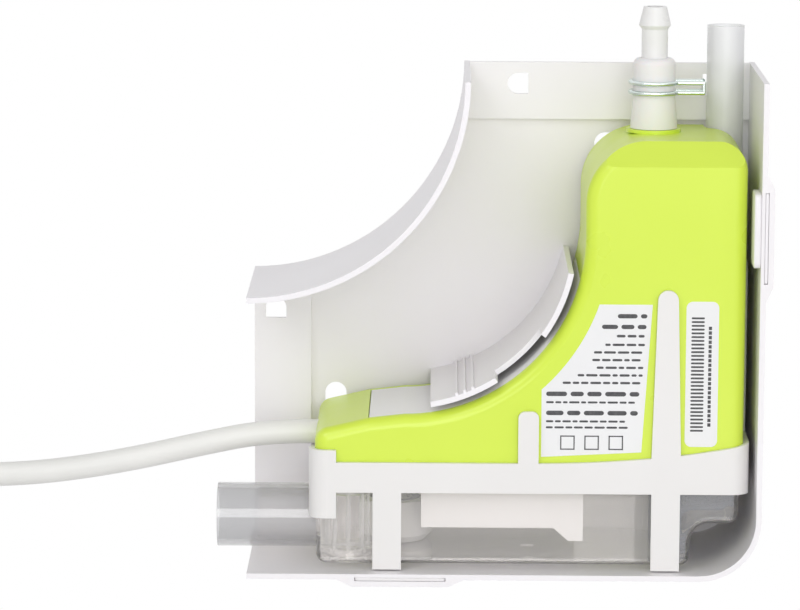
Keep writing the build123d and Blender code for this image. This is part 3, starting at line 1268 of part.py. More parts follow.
pieces = {
    "wall_housing": wall_housing,
    "pump_front_shell": pump_front_shell,
    "curve_pad": curve_pad,
    "pump_rear_cover": pump_rear_cover,
    "cover_screws": cover_screws,
    "reservoir_cradle": reservoir_cradle,
    "reservoir": reservoir,
    "inlet_sleeve": inlet_sleeve,
    "inlet_strainer": inlet_strainer,
    "suction_filter": suction_filter,
    "sensor_housing": sensor_housing,
    "level_sensor_board": level_sensor_board,
    "float_body": float_body,
    "float_magnet": float_magnet,
    "core_tube": core_tube,
    "solenoid_bobbin": solenoid_bobbin,
    "solenoid_coil": solenoid_coil,
    "solenoid_yoke": solenoid_yoke,
    "inlet_fitting": inlet_fitting,
    "piston": piston,
    "piston_spring": piston_spring,
    "valve_seat": valve_seat,
    "delivery_valve": delivery_valve,
    "outlet_head": outlet_head,
    "pump_mounts": pump_mounts,
    "suction_tube": suction_tube,
    "delivery_hose": delivery_hose,
    "barb_adaptor": barb_adaptor,
    "breather_tube": breather_tube,
    "hose_clip": hose_clip,
    "valve_spring": valve_spring,
    "control_board": control_board,
    "rating_label": rating_label,
    "serial_label": serial_label,
    "cable_grommet": cable_grommet,
    "power_cable": power_cable,
    "cable_coil": cable_coil,
    "cable_tail": cable_tail,
    "coil_tie": coil_tie,
    "cable_cores": cable_cores,
    "core_ferrules": core_ferrules,
}
os.makedirs("parts", exist_ok=True)
for name, piece in pieces.items():
    piece.part.label = name
    export_step(piece.part, f"parts/{name}.step")
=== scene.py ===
import math

import bpy
import numpy as np
from bpy.props import FloatProperty, FloatVectorProperty, IntProperty, PointerProperty
from mathutils import Matrix, Vector


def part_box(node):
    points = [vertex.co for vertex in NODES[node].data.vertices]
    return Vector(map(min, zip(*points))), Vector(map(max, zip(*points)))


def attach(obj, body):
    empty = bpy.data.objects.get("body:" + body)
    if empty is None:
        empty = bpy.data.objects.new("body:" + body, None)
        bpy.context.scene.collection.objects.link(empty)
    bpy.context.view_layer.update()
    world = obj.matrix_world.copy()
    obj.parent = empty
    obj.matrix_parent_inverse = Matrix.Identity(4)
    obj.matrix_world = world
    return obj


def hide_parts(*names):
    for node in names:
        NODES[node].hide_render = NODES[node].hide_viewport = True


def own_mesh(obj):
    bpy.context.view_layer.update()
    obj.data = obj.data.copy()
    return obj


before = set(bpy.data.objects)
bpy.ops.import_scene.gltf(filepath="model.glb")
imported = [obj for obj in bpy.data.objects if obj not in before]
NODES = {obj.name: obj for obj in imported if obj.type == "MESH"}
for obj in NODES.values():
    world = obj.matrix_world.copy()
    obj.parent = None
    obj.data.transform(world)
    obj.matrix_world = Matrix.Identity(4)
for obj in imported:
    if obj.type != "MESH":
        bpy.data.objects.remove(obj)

bl_info = {
    "name": "Condensate pump finishes",
    "version": (1, 0, 0),
    "blender": (4, 5, 0),
    "location": "3D View > Sidebar > Pump",
    "description": "Finishes, cable and small parts of a mini condensate pump in its elbow tray",
    "category": "Object",
}

MM = 0.001
ROUND = 2 * math.pi
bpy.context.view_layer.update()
SHARED = {}  # shader groups by name, made once by main()


def mm(*values):
    """Millimetres to a vector in metres."""
    return Vector([value * MM for value in values])


# ---------------------------------------------------------------- sizes and colours


def colour(name, text, value):
    """One colour property."""
    return FloatVectorProperty(
        name=name, description=text, default=value, size=3, min=0.0, max=1.0, subtype="COLOR"
    )


def length(name, text, value):
    """One length property in metres."""
    return FloatProperty(name=name, description=text, default=value, min=0.0, unit="LENGTH")


class PumpColours(bpy.types.PropertyGroup):
    """Colours of the moulded and drawn parts."""

    lime: colour("Lime", "Casing of the pump", (0.70, 0.865, 0.09))
    lime_deep: colour("Lime shade", "Slow drift of the casing's colour", (0.65, 0.83, 0.06))
    tray: colour("Tray", "Moulded elbow tray", (0.885, 0.865, 0.89))
    tray_warm: colour("Tray shade", "Slow drift of the tray's colour", (0.87, 0.845, 0.865))
    cradle: colour("Cradle", "Cradle, float and latch tongues", (0.825, 0.81, 0.80))
    rubber: colour("Hose", "Soft white rubber", (0.85, 0.83, 0.825))
    sheath: colour("Cable", "Sheath of the cable", (0.83, 0.825, 0.80))
    foam: colour("Filter foam", "Open foam round the suction tube", (0.15, 0.175, 0.235))
    clear: colour("Clear plastic", "Tank that the water runs into", (0.985, 0.965, 0.955))
    milky: colour("Milky tube", "Breather tube", (0.93, 0.925, 0.945))
    zinc: colour("Zinc", "Plated wire of the hose clip", (0.74, 0.79, 0.78))


class PumpCable(bpy.types.PropertyGroup):
    """Sizes of the supply cable and of the coil that it is put away in."""

    diameter: length("Cable", "Outside diameter of the sheath", 0.0072)
    coil_radius: length("Coil", "Mean radius of the coil", 0.0344)
    ring_radius: length("Bundle ring", "Radius of the ring that the strands lie on", 0.00725)
    turns: FloatProperty(name="Turns", description="Turns in the coil", default=5.25, min=1.0)
    turn_points: IntProperty(name="Points", description="Points in each turn", default=16, min=12)


class PumpStage(bpy.types.PropertyGroup):
    """Lamps and backdrop."""

    lens: FloatProperty(name="Lens", description="Focal length in millimetres", default=186.08)
    key: FloatProperty(name="Key", description="Power of the key lamp", default=5.0, unit="POWER")
    fill: FloatProperty(name="Fill", description="Power of the fill lamp", default=3.0, unit="POWER")
    front: FloatProperty(
        name="Front", description="Power of the lamp over the camera", default=11.0, unit="POWER"
    )
    sky: FloatProperty(name="Room light", description="Strength of the even light", default=0.52)


# ---------------------------------------------------------------- meshes


def piece_from(name, points, faces, body, smooth=True):
    """Puts worked-out points and faces into a mesh, shades it and lets it ride on a body."""
    mesh = bpy.data.meshes.new(name)
    mesh.from_pydata(points.reshape(-1, 3), [], faces)
    mesh.polygons.foreach_set("use_smooth", np.full(len(mesh.polygons), smooth))
    mesh.update()
    made = bpy.data.objects.new(name, mesh)
    bpy.context.scene.collection.objects.link(made)
    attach(made, body)
    return made


def ring_faces(rows, columns):
    """Quads between neighbouring points of stacked rings, one ring to a row, wrapped round each ring."""
    row = np.arange(rows - 1)[:, None] * columns
    column = np.arange(columns)[None, :]
    after = (column + 1) % columns
    corners = (row + column, row + after, row + columns + after, row + columns + column)
    return np.stack(corners, axis=-1).reshape(-1, 4).tolist()


def frames_along(path):
    """Unit tangents and a pair of normals that turn as little as possible along a path.

    Each normal is the last one with its part along the new tangent taken away, made unit again.
    """
    tangent = np.gradient(path, axis=0)
    tangent /= np.linalg.norm(tangent, axis=1)[:, None]
    normal = np.empty_like(path)
    across_path = np.array((0.0, 0.0, 1.0)) if abs(tangent[0, 2]) < 0.9 else np.array((0.0, 1.0, 0.0))
    for index, along in enumerate(tangent):
        across_path = across_path - along * (across_path @ along)
        across_path = across_path / np.linalg.norm(across_path)
        normal[index] = across_path
    return tangent, normal, np.cross(tangent, normal)


# Each cap of a wire has a shoulder ring and a tip ring: how far the tip stands out, how far back the
# shoulder lies, and the two rings' radii, all as shares of the wire's radius.
CAP_REACH, CAP_STEP = 0.35, 0.12
CAP_TIP, CAP_SHOULDER = 0.02, 0.72


def tube_along(name, path, radius, sides, body):
    """Round wire: point(i, a) = path(i) + radius(i) (normal cos a + binormal sin a), closed by end caps.

    Two more rings at each end shrink towards the tip and close it.
    """
    tangent, normal, side = frames_along(path)
    first = path[0] - tangent[0] * radius * CAP_REACH
    last = path[-1] + tangent[-1] * radius * CAP_REACH
    step_in = tangent[[0, -1]] * radius * CAP_STEP
    path = np.vstack([first, first + step_in[0], path, last - step_in[1], last])
    shares = np.concatenate([[CAP_TIP, CAP_SHOULDER], np.ones(len(path) - 4), [CAP_SHOULDER, CAP_TIP]])
    normal, side = (np.vstack([way[:1], way[:1], way, way[-1:], way[-1:]]) for way in (normal, side))
    angle = np.linspace(0, ROUND, sides, endpoint=False)[None, :, None]
    around = normal[:, None] * np.cos(angle) + side[:, None] * np.sin(angle)
    points = path[:, None] + radius * shares[:, None, None] * around
    faces = ring_faces(len(path), sides)
    faces.append(list(range(sides))[::-1])
    faces.append(list(range((len(path) - 1) * sides, len(path) * sides)))
    return piece_from(name, points, faces, body)


BLOCK_AROUND, BLOCK_RINGS = 28, 14


def rounded_block(name, centre, half, body, turn=None, power=0.3):
    """Block with soft edges: a superellipsoid, half size times sgn(c)|c|^power of each direction cosine.

    With u from -90 to 90 degrees and v all the way round: x = hx f(cos u) f(cos v),
    y = hy f(cos u) f(sin v), z = hz f(sin u), where f(c) = sgn(c)|c|^power.
    """
    u = np.linspace(-math.pi / 2, math.pi / 2, BLOCK_RINGS + 1)[1:-1, None]
    v = np.linspace(0, ROUND, BLOCK_AROUND, endpoint=False)[None, :]

    def soften(value):
        return np.sign(value) * np.abs(value) ** power

    x = half[0] * soften(np.cos(u)) * soften(np.cos(v))
    y = half[1] * soften(np.cos(u)) * soften(np.sin(v))
    z = half[2] * soften(np.sin(u)) * np.ones_like(v)
    points = np.stack([x, y, z], axis=-1).reshape(-1, 3)
    faces = ring_faces(BLOCK_RINGS - 1, BLOCK_AROUND)
    points = np.vstack([points, (0, 0, -half[2]), (0, 0, half[2])])
    low_pole, high_pole = len(points) - 2, len(points) - 1
    last = (BLOCK_RINGS - 2) * BLOCK_AROUND
    for index in range(BLOCK_AROUND):
        after = (index + 1) % BLOCK_AROUND
        faces.append([low_pole, after, index])
        faces.append([high_pole, last + index, last + after])
    if turn is not None:
        points = points @ np.array(turn).T
    return piece_from(name, points + np.array(centre), faces, body)


def prism(name, outline, front, back, bevel, body):
    """Block with one outline all through its depth and bevelled ends.

    Rings of the outline stand at four depths. The first and last are drawn in by the bevel along the
    outline's normals, each the mean of its two edges' normals.
    """
    after = np.roll(outline, -1, axis=0)
    ahead = after - outline
    normal = np.column_stack([ahead[:, 1], -ahead[:, 0]])
    normal /= np.linalg.norm(normal, axis=1)[:, None]
    normal = normal + np.roll(normal, 1, axis=0)
    normal /= np.linalg.norm(normal, axis=1)[:, None]
    # Above zero where the outline runs anticlockwise: its normals then point outwards.
    turned = np.sum(outline[:, 0] * after[:, 1] - outline[:, 1] * after[:, 0])
    drawn_in = outline - normal * bevel * np.sign(turned)
    rings = ((drawn_in, front), (outline, front + bevel), (outline, back - bevel), (drawn_in, back))
    points = np.vstack([np.insert(ring, 1, depth, axis=1) for ring, depth in rings])
    count = len(outline)
    faces = ring_faces(len(rings), count)
    faces.append(list(range(count))[::-1])
    faces.append(list(range(len(points) - count, len(points))))
    if turned > 0:
        faces = [face[::-1] for face in faces]
    return piece_from(name, points, faces, body, smooth=False)


# ---------------------------------------------------------------- shared shader groups


def shader_group(name, inputs, outputs):
    """An empty node group with named inputs and outputs; returns it with its two end nodes."""
    group = bpy.data.node_groups.new(name, "ShaderNodeTree")
    for kind, label, value in inputs:
        socket = group.interface.new_socket(label, in_out="INPUT", socket_type=f"NodeSocket{kind}")
        if value is not None:
            socket.default_value = value
    for kind, label in outputs:
        group.interface.new_socket(label, in_out="OUTPUT", socket_type=f"NodeSocket{kind}")
    return group, group.nodes.new("NodeGroupInput"), group.nodes.new("NodeGroupOutput")


def add(tree, kind, values=None, **settings):
    """Adds a node, sets its properties and then its inputs by name."""
    made = tree.nodes.new(kind)
    for key, value in settings.items():
        setattr(made, key, value)
    for key, value in (values or {}).items():
        made.inputs[key].default_value = value
    return made


def noise(tree, vector, scale, detail=2.0):
    """Strength of a noise texture read at a vector."""
    made = add(tree, "ShaderNodeTexNoise", {"Scale": scale, "Detail": detail})
    tree.links.new(vector, made.inputs["Vector"])
    return made.outputs["Fac"]


def maths(tree, operation, *operands, clamp=False):
    """One Math node; each operand is a socket or a number."""
    made = add(tree, "ShaderNodeMath", operation=operation, use_clamp=clamp)
    for socket, operand in zip(made.inputs, operands):
        if isinstance(operand, bpy.types.NodeSocket):
            tree.links.new(operand, socket)
        else:
            socket.default_value = operand
    return made.outputs[0]


# Places of a Mix node's sockets when it mixes colours, which share their names with other kinds'.
MIX_FACTOR, MIX_FIRST, MIX_SECOND, MIX_RESULT = 0, 6, 7, 2


def blend_colour(tree, factor, first, second):
    """Mixes two colours by a factor's socket; each colour is a socket or three numbers."""
    made = add(tree, "ShaderNodeMix", data_type="RGBA", blend_type="MIX")
    tree.links.new(factor, made.inputs[MIX_FACTOR])
    for place, value in ((MIX_FIRST, first), (MIX_SECOND, second)):
        if isinstance(value, bpy.types.NodeSocket):
            tree.links.new(value, made.inputs[place])
        else:
            made.inputs[place].default_value = (*value, 1.0)
    return made.outputs[MIX_RESULT]


def choose_shader(tree, factor, first, second, end):
    """Mixes two shaders by a factor's socket and feeds the surface of the tree's end node."""
    mix = add(tree, "ShaderNodeMixShader")
    for socket, source in zip(mix.inputs, (factor, first, second)):
        tree.links.new(source, socket)
    tree.links.new(mix.outputs[0], end.inputs["Surface"])


def shade(hue, share):
    """A colour made darker or lighter by one share."""
    return tuple(part * share for part in hue)


def moulding_group():
    """Moulded plastic: a slow drift between two colours, spark-eroded grain and slightly uneven gloss."""
    group, given, result = shader_group(
        "moulding",
        [
            ("Vector", "Vector", None),
            ("Color", "Colour", (0.8, 0.8, 0.8, 1)),
            ("Color", "Drift Colour", (0.7, 0.7, 0.7, 1)),
            ("Float", "Drift Scale", 18.0),
            ("Float", "Roughness", 0.35),
            ("Float", "Grain Scale", 2600.0),
            ("Float", "Grain Depth", 0.12),
        ],
        [("Color", "Colour"), ("Float", "Roughness"), ("Vector", "Normal")],
    )
    drift = add(group, "ShaderNodeTexNoise", {"Detail": 3.0})
    group.links.new(given.outputs["Vector"], drift.inputs["Vector"])
    group.links.new(given.outputs["Drift Scale"], drift.inputs["Scale"])
    slow = add(group, "ShaderNodeMapRange", {"From Min": 0.35, "From Max": 0.7})
    group.links.new(drift.outputs["Fac"], slow.inputs["Value"])
    group.links.new(
        blend_colour(group, slow.outputs["Result"], given.outputs["Colour"], given.outputs["Drift Colour"]),
        result.inputs["Colour"],
    )
    grain = add(group, "ShaderNodeTexNoise", {"Detail": 2.0, "Roughness": 0.6})
    group.links.new(given.outputs["Vector"], grain.inputs["Vector"])
    group.links.new(given.outputs["Grain Scale"], grain.inputs["Scale"])
    # The gloss goes up and down by half of this about its given value.
    gloss_swing = 0.16
    smear = noise(group, given.outputs["Vector"], 55.0, 3.0)
    uneven = maths(group, "MULTIPLY_ADD", smear, gloss_swing, -gloss_swing / 2)
    group.links.new(
        maths(group, "ADD", given.outputs["Roughness"], uneven, clamp=True), result.inputs["Roughness"]
    )
    bump = add(group, "ShaderNodeBump", {"Distance": 0.0001})
    group.links.new(given.outputs["Grain Depth"], bump.inputs["Strength"])
    group.links.new(grain.outputs["Fac"], bump.inputs["Height"])
    group.links.new(bump.outputs["Normal"], result.inputs["Normal"])
    return group


class Finish:
    """One node material being built: its tree, its Principled shader and its Object coordinates."""

    def __init__(self, name, **values):
        self.material = bpy.data.materials.new(name)
        self.material.use_nodes = True
        self.tree = self.material.node_tree
        self.shader = self.tree.nodes["Principled BSDF"]
        self.output = self.tree.nodes["Material Output"]
        self.place = add(self.tree, "ShaderNodeTexCoord")
        for key, value in values.items():
            self.shader.inputs[key.replace("_", " ")].default_value = value

    @property
    def spot(self):
        """Object coordinates in metres."""
        return self.place.outputs["Object"]

    def join(self, source, target):
        """Feeds one of the shader's inputs."""
        self.tree.links.new(source, self.shader.inputs[target])

    def mould(self, base, drift, **values):
        """Adds the moulded-plastic effect and feeds the shader from it."""
        used = add(self.tree, "ShaderNodeGroup", node_tree=SHARED["moulding"])
        used.inputs["Colour"].default_value = (*base, 1)
        used.inputs["Drift Colour"].default_value = (*drift, 1)
        for key, value in values.items():
            used.inputs[key.replace("_", " ")].default_value = value
        self.tree.links.new(self.spot, used.inputs["Vector"])
        self.join(used.outputs["Colour"], "Base Color")
        self.join(used.outputs["Roughness"], "Roughness")
        self.join(used.outputs["Normal"], "Normal")

    def let_lamps_through(self, tint):
        """Lets light reach what stands behind: shadow and diffuse rays meet a Transparent shader."""
        path = add(self.tree, "ShaderNodeLightPath")
        lit = maths(self.tree, "MAXIMUM", path.outputs["Is Shadow Ray"], path.outputs["Is Diffuse Ray"])
        clear = add(self.tree, "ShaderNodeBsdfTransparent", {"Color": (*tint, 1)})
        choose_shader(self.tree, lit, self.shader.outputs[0], clear.outputs[0], self.output)

    def emboss(self, height, strength, distance):
        """Raises the surface by a height's socket."""
        bump = add(self.tree, "ShaderNodeBump", {"Strength": strength, "Distance": distance})
        self.tree.links.new(height, bump.inputs["Height"])
        self.join(bump.outputs["Normal"], "Normal")

    def coordinates(self):
        """Object coordinates split into X, Y and Z."""
        split = add(self.tree, "ShaderNodeSeparateXYZ")
        self.tree.links.new(self.spot, split.inputs[0])
        return split.outputs


def dress(finish, *pieces):
    """Gives pieces one finish; each is a CAD node's name or a new object."""
    for piece in pieces:
        materials = (NODES[piece] if isinstance(piece, str) else piece).data.materials
        materials.clear()
        materials.append(finish.material)


# ---------------------------------------------------------------- finishes


def white_moulding(name, base, drift, roughness, grain=0.1):
    """Off-white moulded plastic that lets a little light into its surface."""
    finish = Finish(
        name,
        IOR=1.5,
        Specular_IOR_Level=0.42,
        Subsurface_Weight=0.06,
        Subsurface_Radius=(1.0, 0.9, 0.8),
        Subsurface_Scale=0.002,
    )
    finish.mould(base, drift, Roughness=roughness, Grain_Depth=grain)
    return finish


def metal(name, base, drift, roughness):
    """Plated or drawn metal with a faint colour drift and a fine grain."""
    finish = Finish(name, Metallic=1.0)
    finish.mould(
        base, drift, Roughness=roughness, Drift_Scale=160.0, Grain_Scale=900.0, Grain_Depth=0.05
    )
    return finish


def clear_plastic(name, tint, roughness, through, ior=1.46, clear=1.0, **values):
    """Clear moulding: bends light, tinted slightly, with faint flow marks in its gloss."""
    finish = Finish(
        name, Base_Color=(*tint, 1), Roughness=roughness, IOR=ior, Transmission_Weight=clear, **values
    )
    finish.emboss(noise(finish.tree, finish.spot, 130.0), 0.25, 0.0002)
    finish.let_lamps_through(through)
    return finish


# ---------------------------------------------------------------- pieces


SENSOR_WIDTH = 36.0  # in millimetres, as the lens is
CAMERA_PLACE = mm(-19.32, -1229.88, 201.5)
CAMERA_TURNS = (0.5385, 9.378, 0.2618)  # to the left, down and round its own axis, in degrees


class PUMP_OT_camera(bpy.types.Operator):
    """Camera that looks slightly down on the pump from the room"""

    bl_idname = "pump.camera"
    bl_label = "Camera"

    def execute(self, context):
        data = bpy.data.cameras.new("camera")
        data.lens = context.scene.pump_stage.lens
        data.sensor_width = SENSOR_WIDTH
        data.clip_start, data.clip_end = 0.01, 50.0
        camera = bpy.data.objects.new("camera", data)
        context.scene.collection.objects.link(camera)
        yaw, pitch, roll = (math.radians(angle) for angle in CAMERA_TURNS)
        sideways = Vector((math.cos(yaw), math.sin(yaw), 0.0))
        onwards = Vector((-math.sin(yaw), math.cos(yaw), 0.0))
        ahead = math.cos(pitch) * onwards + math.sin(pitch) * Vector((0.0, 0.0, -1.0))
        upright = sideways.cross(ahead)
        right = math.cos(roll) * sideways + math.sin(roll) * upright
        up = -math.sin(roll) * sideways + math.cos(roll) * upright
        turn = Matrix((right, up, -ahead)).transposed()
        camera.matrix_world = Matrix.Translation(CAMERA_PLACE) @ turn.to_4x4()
        context.scene.camera = camera
        return {"FINISHED"}


# The cable's route in millimetres: from the grommet to the coil, out of the coil and down to its end.
LEAD_IN = (
    (-55.6, -28.0, -35.05), (-70.0, -28.0, -35.05), (-89.0, -28.2, -38.9), (-106.0, -28.0, -42.9),
    (-122.0, -27.6, -46.0), (-139.0, -28.0, -48.2), (-159.0, -25.0, -49.6), (-178.2, -21.2, -51.3),
    (-191.0, -20.4, -50.2),
)
LEAD_OUT = (
    (-247.1, -24.6, -100.0), (-246.6, -22.6, -110.0), (-245.8, -21.0, -119.0), (-245.0, -20.0, -135.0),
    (-243.0, -19.6, -150.0),
)
COIL_CENTRE = mm(-207.0, -20.4, -90.0)
STRANDS = 6
TIE_ANGLE = math.radians(20.0)
TIE_FRONT = mm(0, -13.2, 0)
CORES_START = mm(*LEAD_OUT[-1])


def coil_points(sizes):
    """Points of the coil, which winds round its centre while the strand goes round the bundle.

    With a the angle round the coil and b the angle round the bundle, one strand further for each turn:
    x = (R + r cos b) cos a, y = -r sin b, z = (R + r cos b) sin a. A quadratic spline runs inside its
    points by the cosine of half a step, so the points stand out by that much.
    """
    count = int(round(sizes.turns * sizes.turn_points))
    turn = np.arange(0, count + 1) / sizes.turn_points
    round_coil = math.pi / 2 + ROUND * turn
    round_bundle = ROUND / STRANDS * turn
    reach = sizes.coil_radius + sizes.ring_radius * np.cos(round_bundle)
    reach /= math.cos(math.pi / sizes.turn_points)
    return np.column_stack(
        [
            COIL_CENTRE.x + reach * np.cos(round_coil),
            COIL_CENTRE.y - sizes.ring_radius * np.sin(round_bundle),
            COIL_CENTRE.z + reach * np.sin(round_coil),
        ]
    )


class PUMP_OT_cable(bpy.types.Operator):
    """Supply cable from the casing's foot, put away in a tied coil, with its stripped cores"""

    bl_idname = "pump.cable"
    bl_label = "Cable"

    def execute(self, context):
        sizes, hues = context.scene.pump_cable, context.scene.pump_colours
        route = np.vstack([np.array(LEAD_IN) * MM, coil_points(sizes), np.array(LEAD_OUT) * MM])
        # Each point's radius is the cable's own, over a bevel of one metre, so that the curve's box is
        # the cable's box.
        curve = bpy.data.curves.new("supply_cable", "CURVE")
        curve.dimensions = "3D"
        curve.resolution_u = 6
        curve.bevel_depth = 1.0
        curve.bevel_resolution = 6
        curve.use_fill_caps = True
        spline = curve.splines.new("NURBS")
        spline.points.add(len(route) - 1)
        spline.points.foreach_set("co", np.column_stack([route, np.ones(len(route))]).ravel())
        spline.points.foreach_set("radius", np.full(len(route), sizes.diameter / 2))
        spline.order_u = 3
        spline.use_endpoint_u = True
        cable = bpy.data.objects.new("supply_cable", curve)
        context.scene.collection.objects.link(cable)
        # Head and cut tail of the tie, on the strap's front.
        outwards = Vector((math.cos(TIE_ANGLE), 0.0, math.sin(TIE_ANGLE)))
        along = Vector((-math.sin(TIE_ANGLE), 0.0, math.cos(TIE_ANGLE)))
        turned = Matrix((outwards, (0.0, 1.0, 0.0), along)).transposed()
        middle = COIL_CENTRE + outwards * sizes.coil_radius + TIE_FRONT
        head = rounded_block("tie_head", middle, mm(3.0, 1.9, 4.0), "housing", turned)
        tail_middle = middle + outwards * 7.0 * MM
        tail_end = rounded_block("tie_tail", tail_middle, mm(5.0, 0.6, 2.6), "housing", turned, power=0.2)
        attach(cable, "housing")
        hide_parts("power_cable", "cable_coil", "cable_tail")
        sheath = Finish("cable sheath", IOR=1.5, Specular_IOR_Level=0.45)
        sheath.mould(
            hues.sheath, shade(hues.sheath, 0.96), Roughness=0.36, Drift_Scale=60.0, Grain_Depth=0.08
        )
        dress(sheath, cable, "cable_grommet")
        tie = Finish("cable tie", Subsurface_Weight=0.1, Subsurface_Scale=0.002)
        tie.mould((0.82, 0.82, 0.80), (0.78, 0.78, 0.76), Roughness=0.4)
        dress(tie, "coil_tie", head, tail_end)
        # Four colours of core, told apart by which side of the cable's axis they are on.
        cores = Finish("core insulation", Roughness=0.38)
        spot = cores.coordinates()
        right = maths(cores.tree, "GREATER_THAN", spot["X"], CORES_START.x)
        rear = maths(cores.tree, "GREATER_THAN", spot["Y"], CORES_START.y)
        brown, blue = (0.16, 0.055, 0.02), (0.02, 0.09, 0.42)
        green, black = (0.10, 0.36, 0.05), (0.03, 0.03, 0.03)
        front_pair = blend_colour(cores.tree, right, brown, blue)
        rear_pair = blend_colour(cores.tree, right, green, black)
        cores.join(blend_colour(cores.tree, rear, front_pair, rear_pair), "Base Color")
        dress(cores, "cable_cores")
        dress(metal("tinned ferrule", (0.78, 0.78, 0.77), (0.7, 0.7, 0.7), 0.25), "core_ferrules")
        return {"FINISHED"}


class PUMP_OT_tray(bpy.types.Operator):
    """Elbow tray"""

    bl_idname = "pump.tray"
    bl_label = "Tray"

    def execute(self, context):
        hues = context.scene.pump_colours
        dress(white_moulding("tray moulding", hues.tray, hues.tray_warm, 0.38, 0.16), "wall_housing")
        return {"FINISHED"}


class PUMP_OT_latches(bpy.types.Operator):
    """Moulded tongues in the tray's two latch pockets, and the rib behind one of them"""

    bl_idname = "pump.latches"
    bl_label = "Latch tongues"

    def execute(self, context):
        hues = context.scene.pump_colours
        low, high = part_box("wall_housing")
        # Each pocket's slot lies across its wall's outer face, a bulge's depth inside the tray's box.
        bulge, slot_middle, tongue_half = 2.1 * MM, 0.05 * MM, 0.47 * MM
        reach, back = 13.1 * MM, 2.2 * MM
        side_height, foot_place = 28.0 * MM, -30.0 * MM
        depth = low[1] + 0.25 * MM + back
        side = rounded_block(
            "latch_tongue_side",
            (high[0] - bulge - slot_middle, depth, side_height),
            (tongue_half, back, reach),
            "housing",
            power=0.1,
        )
        foot = rounded_block(
            "latch_tongue_foot",
            (foot_place, depth, low[2] + bulge + slot_middle),
            (reach, back, tongue_half),
            "housing",
            power=0.1,
        )
        # Rib on the inside of the wall behind the side pocket, clear of the pump as it is drawn out.
        rib_half = mm(1.1, 6.2, 10.8)
        wall_inside = high[0] - 3.7 * MM
        rib = rounded_block(
            "latch_rib_side",
            (wall_inside - rib_half.x * 0.9, low[1] + 6.5 * MM, side_height + 2.0 * MM),
            rib_half,
            "housing",
            power=0.2,
        )
        dress(white_moulding("tongue moulding", hues.cradle, hues.tray, 0.4, 0.1), side, foot, rib)
        return {"FINISHED"}


class PUMP_OT_casing(bpy.types.Operator):
    """Lime casing, its cover, screws and soft strip"""

    bl_idname = "pump.casing"
    bl_label = "Casing"

    def execute(self, context):
        hues = context.scene.pump_colours
        lime = Finish(
            "lime moulding", IOR=1.5, Specular_IOR_Level=0.5, Coat_Weight=0.15, Coat_Roughness=0.12
        )
        lime.mould(hues.lime, hues.lime_deep, Roughness=0.3, Drift_Scale=9.0, Grain_Depth=0.06)
        dress(lime, "pump_front_shell", "pump_rear_cover")
        dress(metal("screw zinc", (0.7, 0.7, 0.68), (0.6, 0.6, 0.57), 0.3), "cover_screws")
        strip = Finish("soft strip", Sheen_Weight=0.2, Specular_IOR_Level=0.3)
        strip.mould(
            (0.90, 0.895, 0.89), (0.87, 0.865, 0.86), Roughness=0.7, Grain_Scale=1500.0, Grain_Depth=0.5
        )
        dress(strip, "curve_pad")
        return {"FINISHED"}


class PUMP_OT_cradle(bpy.types.Operator):
    """White cradle with its straps and fingers"""

    bl_idname = "pump.cradle"
    bl_label = "Cradle"

    def execute(self, context):
        hues = context.scene.pump_colours
        white = white_moulding("cradle moulding", hues.cradle, shade(hues.cradle, 0.965), 0.33, 0.08)
        dress(white, "reservoir_cradle")
        return {"FINISHED"}


# The tank's cut-away corner: how far it goes in and up, and the tank's wall.
NOTCH_IN, NOTCH_UP, TANK_WALL = 13.8 * MM, 12.5 * MM, 1.5 * MM
FOAM_GAP, FOAM_ROUND, FOAM_BEVEL = 0.6 * MM, 3.0 * MM, 0.5 * MM


def foam_outline():
    """Outline of the filter foam in X and Z, which fills the tank's end and follows its cut-away corner.

    It steps up over the notch in an inner and an outer quarter circle: centre + r (cos a, sin a).
    """
    low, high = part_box("suction_filter")
    tank_low, tank_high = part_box("reservoir")
    notch_side = tank_high[0] - NOTCH_IN - TANK_WALL - FOAM_GAP
    notch_top = tank_low[2] + NOTCH_UP + TANK_WALL + FOAM_GAP
    end, top, foot = tank_high[0] - TANK_WALL - FOAM_GAP, high[2], low[2]
    quarter = np.linspace(0, math.pi / 2, 7)
    inner = np.column_stack(
        [
            notch_side + FOAM_ROUND - FOAM_ROUND * np.sin(quarter),
            notch_top - FOAM_ROUND + FOAM_ROUND * np.cos(quarter),
        ]
    )
    outer = np.column_stack(
        [
            end - FOAM_ROUND + FOAM_ROUND * np.cos(-quarter[::-1]),
            notch_top + FOAM_ROUND + FOAM_ROUND * np.sin(-quarter[::-1]),
        ]
    )
    straight = [(end, top), (low[0], top), (low[0], foot), (notch_side, foot)]
    return np.vstack([straight, inner[::-1], outer])


